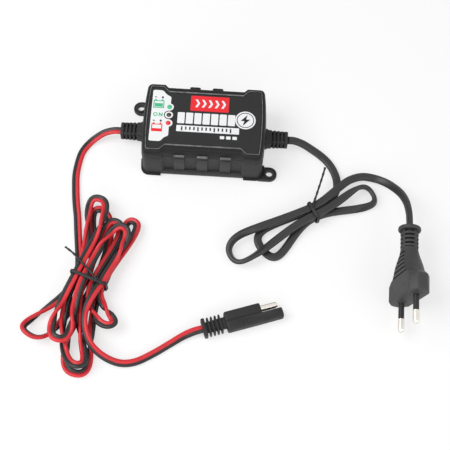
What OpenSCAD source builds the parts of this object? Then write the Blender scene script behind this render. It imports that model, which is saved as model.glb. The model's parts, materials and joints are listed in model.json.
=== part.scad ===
// Automatic car battery charger: sealed case, flat mains lead with a two-pin plug,
// and a two-wire battery lead with a two-pole quick connector.
// Millimetres. Origin on the floor under the middle of the case, +X towards the mains lead, +Z up.

/* [Case] */
// Length of the case between its end walls
case_w = 78; // [76:1:94]
// Depth of the case over its plain ends
case_d = 52.5; // [50:0.5:63]
// Height of the closed case
case_h = 29; // [28:0.5:35]
// Height of the joint between the lower shell and the cover
seam_h = 21; // [20:0.5:22]
// Wall thickness of both shells
wall = 2; // [1.6:0.1:2.4]
// Outward bow of the two end walls
end_bow = 1; // [0:0.1:1.5]
// Radius of the upright corners
corner_r = 4; // [3:0.5:6]
// Inward slope of the cover from the joint up to its top edge
cover_slope = 1.1; // [0.6:0.1:1.4]

/* [Grip recess] */
// Length of the recess in the front and back walls
recess_l = 53; // [45:1:55]
// Depth of that recess
recess_depth = 2.2; // [1.5:0.1:2.5]
// Height of the sill under the recess
recess_sill = 4.5; // [4:0.5:6]
// Width of one upright rib in the recess
rib_w = 7; // [5:0.5:9]
// Distance between ribs
rib_pitch = 14.8; // [12:0.1:16]
// How far a rib stands out of the recess
rib_out = 1.2; // [0.6:0.1:1.4]
// Height of the front ribs above the joint
rib_cap = 2.6; // [1.5:0.1:4]

/* [Feet and ears] */
// How far a corner foot stands out of the wall
foot_out = 1.2; // [0.8:0.1:1.6]
// Height of the corner feet
foot_h = 3.2; // [2.5:0.1:4]
// How far the floor of the case is held off the ground
foot_lift = 0.8; // [0.5:0.1:1.2]
// Length of a foot along the case
foot_l = 12; // [10:1:15]
// Length of a foot along the end wall
foot_w = 10; // [8:1:12]
// Distance of a fixing hole from the end wall
ear_out = 5; // [4.6:0.1:7]
// Distance of a fixing hole from the long centre line
ear_y = 22.3; // [21:0.1:23]
// Outer radius of an ear
ear_r = 5; // [4.5:0.1:6]
// Thickness of an ear
ear_t = 2.4; // [2:0.1:3]
// Diameter of a fixing hole
ear_hole_d = 4.4; // [3.5:0.1:5]

/* [Label and lights] */
// Distance from the case outline to the edge of the label
label_inset = 3.4; // [3:0.1:5]
// How much further the label stands back along the grip recess
label_step = 1.7; // [0:0.1:2]
// Thickness of the label
label_t = 0.4; // [0.2:0.1:0.5]
// Diameter of the indicator lights
led_d = 3; // [2:0.5:3]
// Distance between neighbouring lights
led_pitch = 6; // [5:0.5:7]

/* [Electronics] */
// Length of the circuit board
board_l = 64; // [60:1:64]
// Depth of the circuit board
board_d = 38; // [36:1:40]
// Thickness of the circuit board
board_t = 1.6; // [1:0.2:2]
// Height of the board's underside
board_z = 7; // [6:0.5:8]
board_screw_l = 5; // [4.5:0.1:5.1]

/* [Strain reliefs] */
// Length of a strain relief outside the case
relief_l = 15; // [12:1:18]
// Width of a strain relief at its root
relief_w = 10.4; // [9:0.1:12]
// Height of a strain relief at its root
relief_h = 9.4; // [8:0.1:11]
// Height of the strain reliefs' centre line
relief_z = 9; // [8:0.1:10]

/* [Leads] */
// Width of the flat mains lead
mains_w = 5.2; // [5:0.1:5.4]
// Thickness of the flat mains lead
mains_t = 3.2; // [3:0.1:3.4]
// Diameter of one wire of the battery lead
wire_d = 2.5; // [2.3:0.1:2.6]
// Thickness of the twist ties
tie_t = 1.2; // [1:0.1:1.3]

/* [Mains plug] */
// Width of the plug's front
plug_w = 35.3; // [34.6:0.1:36]
// Height of the plug's front
plug_h = 13.7; // [13:0.1:14.4]
// Length of the plug from its front to the back of its grip
plug_l = 47; // [44:1:50]
// Diameter of the pins
pin_d = 4; // [3.94:0.02:4.06]
// Length of the pins
pin_l = 19; // [18.5:0.1:19.5]
// Distance between the pins
pin_gap = 18.6; // [18:0.1:19.2]
// Length of the insulating sleeve on a pin
sleeve_l = 10.5; // [10:0.1:11]

/* [Battery connector] */
// Width of the connector's body
conn_w = 12.4; // [12:0.1:14]
// Thickness of the connector's body
conn_t = 7.6; // [7:0.1:9]
// Length of the connector's body
conn_l = 23; // [20:1:26]
// Length of the ribbed tail behind the body
conn_tail = 14.5; // [12:0.5:18]
// Length of the nose in front of the body
conn_nose = 12.5; // [11:0.5:14]
// Distance between the pin and the socket
conn_gap = 6; // [5.6:0.1:6.4]
// Diameter of the connector's pin
conn_pin_d = 4; // [3.8:0.1:4.2]

/* [Hidden] */
$fn = 48;

// Clearance between pieces that are put together
fit = 0.1;
// Overlap that makes two parts of one solid join cleanly
weld = 0.2;

black_plastic = [0.16, 0.16, 0.17];
soft_black = [0.12, 0.12, 0.13];
lead_black = [0.2, 0.2, 0.21];
lead_red = [0.82, 0.12, 0.15];
bright_metal = [0.82, 0.8, 0.77];

// ---- Case outline ----

// Points of a rounded corner about centre c from angle a to a + 90
function corner(c, r, a) = [for (i = [0 : 4]) c + r * [cos(a + 22.5 * i), sin(a + 22.5 * i)]];

// Half of the case outline without the recess, round its +X end; i is the inset from the outer walls
function end_plan(i) =
    let (
        hx = case_w / 2 - i,
        r = max(corner_r - i, 0.5),
        side = case_d / 2 - i - r
    )
    concat(
        corner([hx - r, -side], r, -90),
        [for (k = [-3 : 3]) [hx + end_bow * (1 - k * k / 16), side * k / 4]],
        corner([hx - r, side], r, 0)
    );

// The same with the ends of a recess of depth d in the front and the back wall
function half_plan(i, d) =
    let (
        hy = case_d / 2 - i,
        shift = recess_l / 2 + i * tan(22.5)
    )
    d == 0 ? end_plan(i) : concat(
        [[shift - d, d - hy], [shift, -hy]],
        end_plan(i),
        [[shift, hy], [shift - d, hy - d]]
    );

function plan(i, d) = concat(half_plan(i, d), [for (p = half_plan(i, d)) -p]);

// What the grip recess takes out of one long wall, with a sloping sill
module recess_cut() {
    half = recess_l / 2;
    back = case_d / 2 - recess_depth;
    intersection() {
        translate([0, 0, recess_sill]) linear_extrude(case_h)
            polygon([[half - recess_depth, -back], [half + 3, -back - recess_depth - 3],
                [-half - 3, -back - recess_depth - 3], [recess_depth - half, -back]]);
        rotate([90, 0, 90]) linear_extrude(2 * case_w, center = true)
            polygon([[-back, recess_sill + 0.9], [-back, case_h], [-back - 6, case_h],
                [-back - 6, recess_sill - 1.5]]);
    }
}

// Solid through outlines given as [height, inset, recess depth]
module loft(levels) {
    n = len(plan(levels[0][1], levels[0][2]));
    top = len(levels) - 1;
    points = [for (l = levels) for (p = plan(l[1], l[2])) [p[0], p[1], l[0]]];
    sides = [for (l = [0 : top - 1]) for (k = [0 : n - 1]) for (h = [0, 1])
        let (a = l * n + k, b = l * n + (k + 1) % n)
        h == 0 ? [a, b + n, b] : [a, a + n, b + n]];
    polyhedron(points, concat(
        [[for (k = [0 : n - 1]) k]],
        sides,
        [[for (k = [n - 1 : -1 : 0]) top * n + k]]));
}

// Everything between two heights
module slab(z0, z1) {
    translate([-case_w, -case_d, z0]) cube([2 * case_w, 2 * case_d, z1 - z0]);
}

// Upright prism with the case outline
module prism(i, d, z0, z1) {
    translate([0, 0, z0]) linear_extrude(z1 - z0) polygon(plan(i, d));
}

module both_ends() {
    children();
    rotate([0, 0, 180]) children();
}

// ---- Case ----

floor_z = foot_lift + wall;
ear_x = case_w / 2 + ear_out;
wall_x = case_w / 2 + end_bow;
boss_x = case_w / 2 - wall - 4.6;
boss_y = case_d / 2 - wall - 4.4;
boss_r = 3;
boss_z = 16;
screw_r = 1.45;
screw_head_r = 2.6;
screw_head_z = 4;
seal_h = 0.8;
post_x = board_l / 2 - 4;
post_y = board_d / 2 - 4;
relief_hole_w = 8.4;
relief_hole_h = 7.4;
relief_root = wall_x - wall - 3.4;

module at_bosses() {
    for (x = [-1, 1]) for (y = [-1, 1]) translate([x * boss_x, y * boss_y, 0]) children();
}

module feet() {
    intersection() {
        prism(-foot_out, 0, 0, foot_h);
        for (x = [-1, 1]) for (y = [-1, 1])
            translate([x * case_w / 2, y * case_d / 2, foot_h / 2])
                cube([2 * foot_l, 2 * foot_w, foot_h + 2], center = true);
    }
}

module ear() {
    difference() {
        union() {
            translate([ear_x, -ear_y, 0]) cylinder(h = ear_t, r = ear_r);
            translate([case_w / 2 - corner_r, -ear_y - ear_r, 0])
                cube([ear_out + corner_r, 2 * ear_r, ear_t]);
            translate([ear_x, -ear_y, 0]) cylinder(h = ear_t + 0.6, r = ear_hole_d / 2 + 1.2);
        }
        translate([ear_x, -ear_y, -1]) cylinder(h = ear_t + 3, d = ear_hole_d);
    }
}

// Upright ribs in the two grip recesses, numbered in steps of rib_pitch from the middle
front_ribs = [-1, 0, 1];
back_ribs = [-0.5, 0.5];

module ribs(numbers, z0, z1) {
    face = case_d / 2 - recess_depth;
    for (k = numbers)
        translate([k * rib_pitch - rib_w / 2, -face - rib_out, z0])
            cube([rib_w, rib_out + cover_slope + 0.3, z1 - z0]);
}

module base_shell() {
    color(black_plastic) difference() {
        union() {
            difference() {
                intersection() {
                    loft([
                        [foot_lift - 0.7, 1, 0],
                        [foot_lift + 0.7, 0, 0],
                        [seam_h + 1, 0.2, 0]]);
                    slab(foot_lift, seam_h);
                }
                both_ends() recess_cut();
            }
            feet();
            both_ends() ear();
            ribs(front_ribs, recess_sill + 1.6, seam_h - 0.6);
            rotate([0, 0, 180]) ribs(back_ribs, recess_sill + 1.6, seam_h - 0.6);
        }
        difference() {
            prism(wall, recess_depth, floor_z, seam_h + 1);
            at_bosses() cylinder(h = boss_z, r = boss_r);
            for (x = [-1, 1]) for (y = [-1, 1])
                translate([x * post_x, y * post_y, 0]) cylinder(h = board_z, r = 2.6);
        }
        difference() {
            prism(0.6, recess_depth, seam_h - seal_h, seam_h + 1);
            prism(1.5, recess_depth, seam_h - seal_h - 1, seam_h + 2);
        }
        at_bosses() {
            translate([0, 0, -1]) cylinder(h = screw_head_z + 1, r = screw_head_r + 0.2);
            cylinder(h = boss_z + 1, r = screw_r + 0.2);
        }
        for (x = [-1, 1])
            translate([x * post_x, x * post_y, board_top - board_screw_l - 0.2])
                cylinder(h = board_z, r = 1.15);
        both_ends() translate([wall_x - wall - 2, -relief_hole_w / 2, relief_z - relief_hole_h / 2])
            cube([wall + 4, relief_hole_w, relief_hole_h]);
    }
}

top_t = 2;
skirt_h = 2.4;
led_x = -23;
led_y = 2;
label_z = case_h - 0.5;
label_recess = recess_depth + label_step;

module at_leds() {
    for (k = [-1 : 1]) translate([led_x, led_y + k * led_pitch, 0]) children();
}

module top_cover() {
    color(black_plastic) difference() {
        union() {
            difference() {
                intersection() {
                    loft([
                        [seam_h - 0.5, 0.2, recess_depth],
                        [seam_h + 0.5, 0, recess_depth],
                        [case_h - 2, cover_slope - 0.4, recess_depth],
                        [case_h - 0.6, cover_slope, recess_depth],
                        [case_h + 0.6, cover_slope + 1.6, recess_depth]]);
                    slab(seam_h, case_h);
                }
                prism(wall + 0.8, recess_depth, seam_h - 1, case_h - 0.5 - top_t);
            }
            difference() {
                prism(wall + 0.2, recess_depth, seam_h - skirt_h, seam_h + 3);
                prism(wall + 1.1, recess_depth, seam_h - skirt_h - 1, seam_h + 4);
                both_ends() translate([wall_x - wall - 2, -8, seam_h - skirt_h - 1])
                    cube([4, 16, skirt_h + 1]);
            }
            at_bosses() translate([0, 0, boss_z]) cylinder(h = case_h - 1.5 - boss_z, r = boss_r);
            ribs(front_ribs, seam_h, seam_h + rib_cap);
            rotate([0, 0, 180]) ribs(back_ribs, seam_h, case_h - 1.2);
        }
        prism(label_inset, label_recess, label_z, case_h + 1);
        at_leds() translate([0, 0, case_h - 6]) cylinder(h = 8, d = led_d + 2 * fit);
        at_bosses() translate([0, 0, boss_z - 1]) cylinder(h = 6.5, r = screw_r + 0.05);
    }
}

module case_seal() {
    color("dimgray") difference() {
        prism(0.7, recess_depth, seam_h - seal_h, seam_h);
        prism(1.4, recess_depth, seam_h - seal_h - 1, seam_h + 1);
    }
}

module case_screws() {
    color("silver") at_bosses() {
        difference() {
            translate([0, 0, screw_head_z - 2]) cylinder(h = 2, r = screw_head_r);
            translate([0, 0, screw_head_z - 2.5]) cube([0.7, 3, 2.4], center = true);
            translate([0, 0, screw_head_z - 2.5]) cube([3, 0.7, 2.4], center = true);
        }
        translate([0, 0, screw_head_z]) cylinder(h = 16.5, r = screw_r);
    }
}

module overlay_label() {
    color([0.1, 0.1, 0.1]) difference() {
        prism(label_inset + 0.15, label_recess, label_z, label_z + label_t);
        at_leds() translate([0, 0, label_z - 1]) cylinder(h = 3, d = led_d + 2 * fit);
    }
}

// ---- Lights ----

led_top = case_h + 0.5;
led_base = led_top - 5.2;

module led(tint) {
    color(tint) {
        translate([0, 0, led_base]) cylinder(h = 1, r = led_d / 2 + 0.4);
        translate([0, 0, led_base]) cylinder(h = 5.2 - led_d / 2, d = led_d);
        intersection() {
            translate([0, 0, led_top - led_d / 2]) sphere(d = led_d);
            translate([0, 0, led_top - led_d / 2]) cylinder(h = led_d, d = led_d);
        }
    }
}

module led_green() {
    translate([led_x, led_y + led_pitch, 0]) led([0.25, 0.72, 0.5]);
}

module led_on() {
    translate([led_x, led_y, 0]) led([0.45, 0.36, 0.34]);
}

module led_red() {
    translate([led_x, led_y - led_pitch, 0]) led([0.85, 0.15, 0.15]);
}

board_top = board_z + board_t;

// Upright block that carries the three lights from the board to the cover
module led_holder() {
    color("whitesmoke") difference() {
        translate([led_x - 2.4, led_y - led_pitch - 2.4, board_top])
            cube([4.8, 2 * led_pitch + 4.8, led_base - board_top]);
        for (k = [-0.5, 0.5])
            translate([led_x - 3, led_y + k * led_pitch - 1, board_top + 2])
                cube([6, 2, led_base - board_top - 4]);
    }
}

// ---- Board and parts ----

module circuit_board() {
    color("darkgreen") difference() {
        translate([-board_l / 2, -board_d / 2, board_z]) cube([board_l, board_d, board_t]);
        for (x = [-1, 1])
            translate([x * post_x, x * post_y, board_z - 1]) cylinder(h = board_t + 2, r = 1.4);
        at_bosses() translate([0, 0, board_z - 1]) cylinder(h = board_t + 2, r = boss_r + 0.5);
    }
}

module board_screws() {
    color("silver") for (x = [-1, 1]) translate([x * post_x, x * post_y, 0]) {
        translate([0, 0, board_top]) cylinder(h = 1.6, r = 2.3);
        translate([0, 0, board_top - board_screw_l]) cylinder(h = board_screw_l, r = 1.1);
    }
}

coil_x = 2;
coil_y = 4;
core_h = 15;

module on_board(x, y) {
    translate([x, y, board_top]) children();
}

module transformer_core() {
    color("dimgray") on_board(coil_x, coil_y) difference() {
        translate([-10, -3, 1]) cube([20, 6, core_h]);
        for (s = [-1, 1]) translate([s * 4.75 - 2.25, -4, 4]) cube([4.5, 8, core_h - 6]);
    }
}

module transformer_bobbin() {
    color("ivory") on_board(coil_x, coil_y) {
        for (z = [4.1, core_h - 3.1]) difference() {
            translate([-6.4, -7.5, z]) cube([12.8, 15, 1]);
            translate([-2.6, -3.1, z - 1]) cube([5.2, 6.2, 3]);
        }
        difference() {
            translate([-3.3, -3.8, 4.5]) cube([6.6, 7.6, core_h - 7]);
            translate([-2.6, -3.1, 3]) cube([5.2, 6.2, core_h]);
        }
        for (s = [-1, 1]) translate([-6, s * 6.2 - 1.2, 0]) cube([12, 2.4, 4.3]);
    }
}

module transformer_winding() {
    color("orange") on_board(coil_x, coil_y) difference() {
        translate([-6, -7, 5.2]) cube([12, 14, core_h - 8.4]);
        translate([-3.4, -3.9, 4]) cube([6.8, 7.8, core_h]);
    }
}

module can(r, h) {
    cylinder(h = h - 0.6, r = r);
    translate([0, 0, h - 0.8]) cylinder(h = 0.8, r = r - 0.7);
}

module mains_capacitor() {
    color([0.15, 0.15, 0.2]) on_board(19, 12.5) can(5, 16);
}

module rectifier_bridge() {
    color([0.1, 0.1, 0.1]) on_board(23.6, 2) translate([-4.2, -3.2, 0.4]) cube([8.4, 6.4, 3.2]);
    color("silver") on_board(23.6, 2) for (x = [-1, 1]) for (y = [-1, 1])
        translate([x * 2.5 - 0.3, y * 3 - 0.25, 0]) cube([0.6, 0.5, 1]);
}

module mains_fuse() {
    color([0.12, 0.12, 0.12]) on_board(24, -8.5) can(4, 8);
}

module suppression_capacitor() {
    color([0.85, 0.75, 0.2]) on_board(15.5, -9.5) translate([-2.5, -6, 0]) cube([5, 12, 11]);
}

module mains_choke() {
    color([0.3, 0.2, 0.15]) on_board(15.9, 1.5) difference() {
        cylinder(h = 9, r = 3.2);
        translate([0, 0, 1]) cylinder(h = 9, r = 1.4);
    }
}

sink_y = -16;

module power_transistor() {
    color([0.1, 0.1, 0.1]) on_board(-1, sink_y + 3.1) difference() {
        translate([-5, -2, 2]) cube([10, 4, 9]);
        translate([0, 0, 8]) rotate([90, 0, 0]) cylinder(h = 8, r = 1.7, center = true);
    }
    color("silver") on_board(-1, sink_y + 3.1) for (k = [-1 : 1])
        translate([k * 2.5 - 0.4, -0.3, 0]) cube([0.8, 0.6, 2.2]);
}

module heat_sink() {
    color("lightgray") on_board(-1, sink_y) difference() {
        translate([-9, -1, 0]) cube([18, 2, 16]);
        translate([0, 0, 8]) rotate([90, 0, 0]) cylinder(h = 8, r = 1.6, center = true);
    }
}

module transistor_screw() {
    color("silver") on_board(-1, sink_y + 5.1) translate([0, 0, 8]) {
        rotate([-90, 0, 0]) cylinder(h = 1.6, r = 2.4);
        rotate([90, 0, 0]) cylinder(h = 6.2, r = 1.5);
    }
}

module output_diode() {
    color([0.1, 0.1, 0.1]) on_board(-12, 14.5)
        translate([-4.5, 0, 2.9]) rotate([0, 90, 0]) cylinder(h = 9, r = 2.6);
    color("silver") on_board(-12, 14.5) for (s = [-1, 1])
        translate([s * 5.6, 0, 0]) cylinder(h = 3, r = 0.6);
    color("silver") on_board(-12, 14.5)
        translate([-6, 0, 2.9]) rotate([0, 90, 0]) cylinder(h = 12, r = 0.5);
}

module output_capacitor() {
    color([0.15, 0.15, 0.2]) on_board(-16, -9.5) can(4, 13);
}

module output_choke() {
    color([0.25, 0.25, 0.25]) on_board(-24.5, -10.8) {
        cylinder(h = 1, r = 3);
        cylinder(h = 8, r = 2.2);
        translate([0, 0, 7]) cylinder(h = 1, r = 3);
    }
}

module chip(l, w) {
    translate([-l / 2, -w / 2 + 0.6, 0.4]) cube([l, w - 1.2, 3]);
    for (s = [-1, 1]) for (k = [-1 : 1])
        translate([k * 2.54 * min(1, l / 8) - 0.3, s * (w / 2 - 0.4) - 0.4, 0]) cube([0.6, 0.8, 2]);
}

module optocoupler() {
    color([0.15, 0.15, 0.15]) on_board(-13.5, 0) chip(6, 7);
}

module control_chip() {
    color([0.12, 0.12, 0.12]) on_board(-14, 7.6) chip(9.6, 7.4);
}

// ---- Sweeps ----

function unit(v) = v / norm(v);
function mix(a, b, t) = a + (b - a) * t;
function ease(t) = let (u = min(max(t, 0), 1)) u * u * (3 - 2 * u);
function place(p) = [p[0], p[1], p[2]];

// Direction of a route at point i; ends may be given
function heading(p, i, first, last) =
    i == 0 && first != undef ? first
    : i == len(p) - 1 && last != undef ? last
    : unit(place(p[min(i + 1, len(p) - 1)]) - place(p[max(i - 1, 0)]));

function level_side(t) = norm([t[0], t[1]]) < 0.01 ? [0, 1, 0] : unit([-t[1], t[0], 0]);

// The wide and the thin direction of a flat lead that is rolled by a about its heading t
function wide_way(t, a) = level_side(t) * cos(a) + cross(t, level_side(t)) * sin(a);
function thin_way(t, a) = cross(t, level_side(t)) * cos(a) - level_side(t) * sin(a);

// Tube through route points [x, y, z, roll] with a section given as points [wide, thin]
module tube(p, section, first = undef, last = undef) {
    n = len(section);
    m = len(p);
    points = [for (i = [0 : m - 1])
        let (t = heading(p, i, first, last), w = wide_way(t, p[i][3]), h = thin_way(t, p[i][3]))
        for (s = section) place(p[i]) + w * s[0] + h * s[1]];
    sides = [for (i = [0 : m - 2]) for (k = [0 : n - 1]) for (h = [0, 1])
        let (a = i * n + k, b = i * n + (k + 1) % n)
        h == 0 ? [a, b + n, b] : [a, a + n, b + n]];
    caps = [for (k = [1 : n - 2]) for (h = [0, 1])
        h == 0 ? [0, k, k + 1] : [(m - 1) * n, (m - 1) * n + k + 1, (m - 1) * n + k]];
    polyhedron(points, concat(sides, caps));
}

function six_sided(w, t) = [[w / 2, 0], [w / 4, t / 2], [-w / 4, t / 2],
    [-w / 2, 0], [-w / 4, -t / 2], [w / 4, -t / 2]];
function eight_sided(w, t) = [[w / 2, -t / 5], [w / 2, t / 5], [w / 3.6, t / 2], [-w / 3.6, t / 2],
    [-w / 2, t / 5], [-w / 2, -t / 5], [-w / 3.6, -t / 2], [w / 3.6, -t / 2]];
function round_eight(d) = [for (k = [0 : 7]) d / 2 * [cos(45 * k + 22.5), sin(45 * k + 22.5)]];

// ---- Hanks ----

// A hank is a list: middle of the waist, lean of its strands from +Y, column and layer steps,
// lowest strand height, lift at the tie, [column, layer] of each strand at the waist, and lobes.
// A lobe is [tip x, tip y, spread, layer at the tip, where it starts to drop, first side, roll].
function along(h) = [sin(h[1]), cos(h[1])];
function across(h) = [cos(h[1]), -sin(h[1])];
function slot(h, i) =
    let (xy = h[0] + across(h) * h[6][i][0] * h[2])
    [xy[0], xy[1], h[4] + h[6][i][1] * h[3] + h[5]];
function bezier(a, b, c, d, t) =
    a * pow(1 - t, 3) + 3 * b * t * pow(1 - t, 2) + 3 * c * t * t * (1 - t) + d * pow(t, 3);

// Point t of the way from the waist to the tip of lobe k, on its first (0) or second (1) half
function lobe_point(h, k, half, t, out, rise) =
    let (
        lobe = h[7][k],
        a = slot(h, k + half),
        start = [a[0], a[1]],
        tip = [lobe[0], lobe[1]],
        near = slot(h, k),
        far = slot(h, k + 1),
        axis = unit(tip - [near[0] + far[0], near[1] + far[1]] / 2),
        turned = [axis[1], -axis[0]],
        side = turned * across(h) < 0 ? -turned : turned,
        way = (half == 0 ? -1 : 1) * lobe[5],
        handle = start + along(h) * (k % 2 == 0 ? -out : out) * norm(tip - start) / 2,
        xy = bezier(start, handle, tip + side * way * lobe[2], tip, t),
        bare = a[2] - h[5],
        z = a[2] - h[5] * ease((t - 0.05) / 0.45)
            + (h[4] + lobe[3] * h[3] - bare) * ease((t - lobe[4]) / (1 - lobe[4])),
        roll = lobe[6] * ease((t - 0.25) / 0.45)
    )
    [xy[0], xy[1], z + abs(sin(roll)) * rise, roll];

// Steps along half a lobe, closer together towards its tip
half_steps = [0.22, 0.45, 0.65, 0.8, 0.91, 1];

// The whole hank: down each first half and back along each second half
function hank_route(h, out, rise) =
    let (s = half_steps, n = len(s), a = slot(h, 0))
    concat(
        [[a[0], a[1], a[2], 0]],
        [for (k = [0 : len(h[7]) - 1]) for (half = [0, 1]) for (i = [0 : n - 1])
            lobe_point(h, k, half, half == 0 ? s[i] : (i == n - 1 ? 0 : s[n - 2 - i]), out, rise)]
    );

// Least gap between stretches of a hank that are over 16 mm of route apart, on four points of each
// straight piece: the lead counts as three round wires side by side
function hank_gap(p, thick, spread) =
    let (
        m = len(p),
        fine = [for (i = [0 : m - 2]) for (q = [0 : 3])
            let (
                c = mix(p[i], p[i + 1], q / 4),
                t = unit(place(p[i + 1]) - place(p[i]))
            )
            [place(c), wide_way(t, c[3]) * spread]],
        runs = [for (i = 0, s = 0; i < len(fine); s = s + (i < len(fine) - 1
            ? norm(fine[i + 1][0] - fine[i][0]) : 0), i = i + 1) s]
    )
    min([for (i = [0 : len(fine) - 1]) for (j = [i + 1 : 1 : len(fine) - 1])
        if (runs[j] - runs[i] > 16 && norm(fine[i][0] - fine[j][0]) < 9)
            for (u = [-1 : 1]) for (v = [-1 : 1])
                norm(fine[i][0] + fine[i][1] * u - fine[j][0] - fine[j][1] * v)]) - thick;

mains_layer = mains_t + 0.7;
mains_column = mains_w + 0.5;
dc_layer = wire_d + 1.1;
dc_column = 2 * wire_d + 0.6;
tie_lift = tie_t + 0.5;

mains_hank_shape = [
    [73, -50], 61, -mains_column, mains_layer, mains_t / 2 + 0.1, tie_lift,
    [[0.5, 0], [-0.5, 0], [-0.5, 1], [0.5, 1]],
    [
        [42, -77, 20, 0, 0.5, 1, 0],
        [112, -33, 15, 0, 0.45, -1, 70],
        [22, -83, 17, 0, 0.6, -1, 60]
    ]];

dc_hank_shape = [
    [-64.5, -105.5], 20, dc_column, dc_layer, wire_d / 2 + 0.1, tie_lift,
    [[-1.5, 0], [-0.5, 0], [0.5, 0], [1.5, 0], [1.5, 1], [0.5, 1],
        [-0.5, 1], [-1.5, 1], [-1.5, 2], [-0.5, 2], [1.5, 2]],
    [
        [-97.5, -142, 15, 1.5, 0.55, 1, 120],
        [-64, -55.5, 11, 0.5, 0.75, 1, 0],
        [-66.5, -163.5, 15, 0.25, 0.7, 1, 180],
        [-41.5, -63, 10, 0.75, 0.75, 1, 0],
        [-48, -134, 8, 1.9, 0.3, -1, 180],
        [-52, -65, 9.5, 1.3, 0.5, -1, 0],
        [-64.5, -160.5, 11, 2.45, 0.5, -1, 180],
        [-65, -49.5, 12.5, 1.55, 0.72, 1, 180],
        [-78, -145.5, 11, 2.75, 0.35, 1, 180],
        [-46.5, -70.5, 8.5, 2.75, 0.5, 1, 180]
    ]];

function hank_start(h) = let (a = slot(h, 0)) [a[0], a[1], a[2], 0];
function hank_end(h) = let (a = slot(h, len(h[7]))) [a[0], a[1], a[2], 0];
function strand(h, way) = [along(h)[0] * way, along(h)[1] * way, 0];

// ---- Leads ----

relief_tip = wall_x + relief_l;

mains_case_route = concat(
    [
        [relief_tip, 0, relief_z, 0],
        [relief_tip + 5, 0, relief_z - 0.4, 0],
        [66, -1, 6.4, 0],
        [72, -3, 3.4, 0],
        [78, -6.5, 1.9, 0],
        [83, -11.5, 1.7, 0],
        [86.5, -17.5, 1.7, 0],
        [88.5, -24, 1.7, 0],
        [88.5, -30.5, 1.7, 0],
        [86, -36.5, 1.8, 0],
        [82, -41.5, 2.4, 0],
        [77, -45, 3.2, 0]
    ],
    [hank_start(mains_hank_shape)]);

plug_back = [132, -63, 17.8];
plug_turn = -2.5;
plug_roll = 73.5;

mains_plug_route = concat(
    [hank_end(mains_hank_shape)],
    [
        [78.1, -43.2, 7.9, 0],
        [84, -37.4, 7.5, 0],
        [90, -31, 6.4, 0],
        [96.5, -25, 5.2, 5],
        [104.5, -21.3, 3.8, 10],
        [112.5, -21.3, 2.7, 22],
        [119.5, -24.3, 4, 36],
        [125, -29.5, 6.9, 50],
        [129, -36, 10.8, 62],
        [131.2, -43.5, 14.5, 70],
        [132, -51, 17, plug_roll],
        [132.1, -57, 17.8, plug_roll],
        [plug_back[0], plug_back[1], plug_back[2], plug_roll]
    ]);

dc_case_route = concat(
    [
        [-relief_tip, 0, relief_z, 0],
        [-relief_tip - 5, 0, relief_z - 0.4, 0],
        [-66, -0.8, 6.4, 0],
        [-71.5, -3, 3.2, 0],
        [-76.5, -7.5, 1.5, 0],
        [-80, -14, 1.35, 0],
        [-81.5, -22, 1.35, 0],
        [-82, -31, 1.35, 0],
        [-81, -41, 1.35, 0],
        [-79.5, -51, 1.35, 0],
        [-77.5, -61, 1.35, 0],
        [-76, -71, 1.35, 0],
        [-74.5, -80, 1.4, 0],
        [-73.2, -88, 2, 0],
        [-72.3, -95.5, 2.8, 0]
    ],
    [hank_start(dc_hank_shape)]);

conn_back = [7, -132, conn_t / 2];
conn_turn = 19;

dc_connector_route = concat(
    [hank_end(dc_hank_shape)],
    [
        [-60.6, -116.5, 10.8, 15],
        [-63.6, -125, 10.2, 30],
        [-63.9, -133, 10.5, 45],
        [-62, -141, 9.6, 50],
        [-57.5, -148.3, 8.3, 50],
        [-50, -153.6, 5.8, 50],
        [-41, -156, 3.2, 50],
        [-32, -154.6, 2.4, 50],
        [-22.5, -149.4, 2.35, 50],
        [-13, -142.8, 2.35, 50],
        [-5, -137.2, 2.7, 35],
        [1.6, -133.8, 3.3, 15],
        [conn_back[0], conn_back[1], conn_back[2], 0]
    ]);

function turned(a) = [cos(a), sin(a), 0];

module mains_lead_case_end() {
    color(lead_black) tube(mains_case_route, eight_sided(mains_w, mains_t),
        [1, 0, 0], strand(mains_hank_shape, -1));
}

module mains_hank() {
    route = hank_route(mains_hank_shape, 1, (mains_w - mains_t) / 2);
    echo(mains_hank_least_gap = hank_gap(route, mains_t, (mains_w - mains_t) / 2));
    color(lead_black) tube(route, six_sided(mains_w, mains_t),
        strand(mains_hank_shape, -1), strand(mains_hank_shape, 1));
}

module mains_lead_plug_end() {
    color(lead_black) tube(mains_plug_route, eight_sided(mains_w, mains_t),
        strand(mains_hank_shape, 1), [sin(plug_turn), -cos(plug_turn), 0]);
}

module dc_lead_case_end() {
    color(lead_red) tube(dc_case_route, eight_sided(2 * wire_d, wire_d),
        [-1, 0, 0], strand(dc_hank_shape, -1));
}

module dc_hank() {
    route = hank_route(dc_hank_shape, 1, wire_d / 2);
    echo(dc_hank_least_gap = hank_gap(route, wire_d, wire_d / 2));
    color(lead_red) tube(route, six_sided(2 * wire_d, wire_d),
        strand(dc_hank_shape, -1), strand(dc_hank_shape, -1));
}

module dc_lead_connector_end() {
    color(lead_red) tube(dc_connector_route, eight_sided(2 * wire_d, wire_d),
        strand(dc_hank_shape, -1), turned(conn_turn));
}

// Rounded rectangle standing across a hank's strands, w wide and from z0 to z1
module hoop(h, w, z0, z1, r) {
    translate([h[0][0], h[0][1], 0]) rotate([0, 0, -h[1]]) rotate([90, 0, 0])
        translate([-w / 2 + r, z0 + r, -tie_t / 2]) linear_extrude(tie_t) union() {
            translate([0, -r]) square([w - 2 * r, z1 - z0]);
            translate([-r, 0]) square([w, z1 - z0 - 2 * r]);
            for (x = [0, w - 2 * r]) for (y = [0, z1 - z0 - 2 * r]) translate([x, y]) circle(r = r);
        }
}

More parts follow.
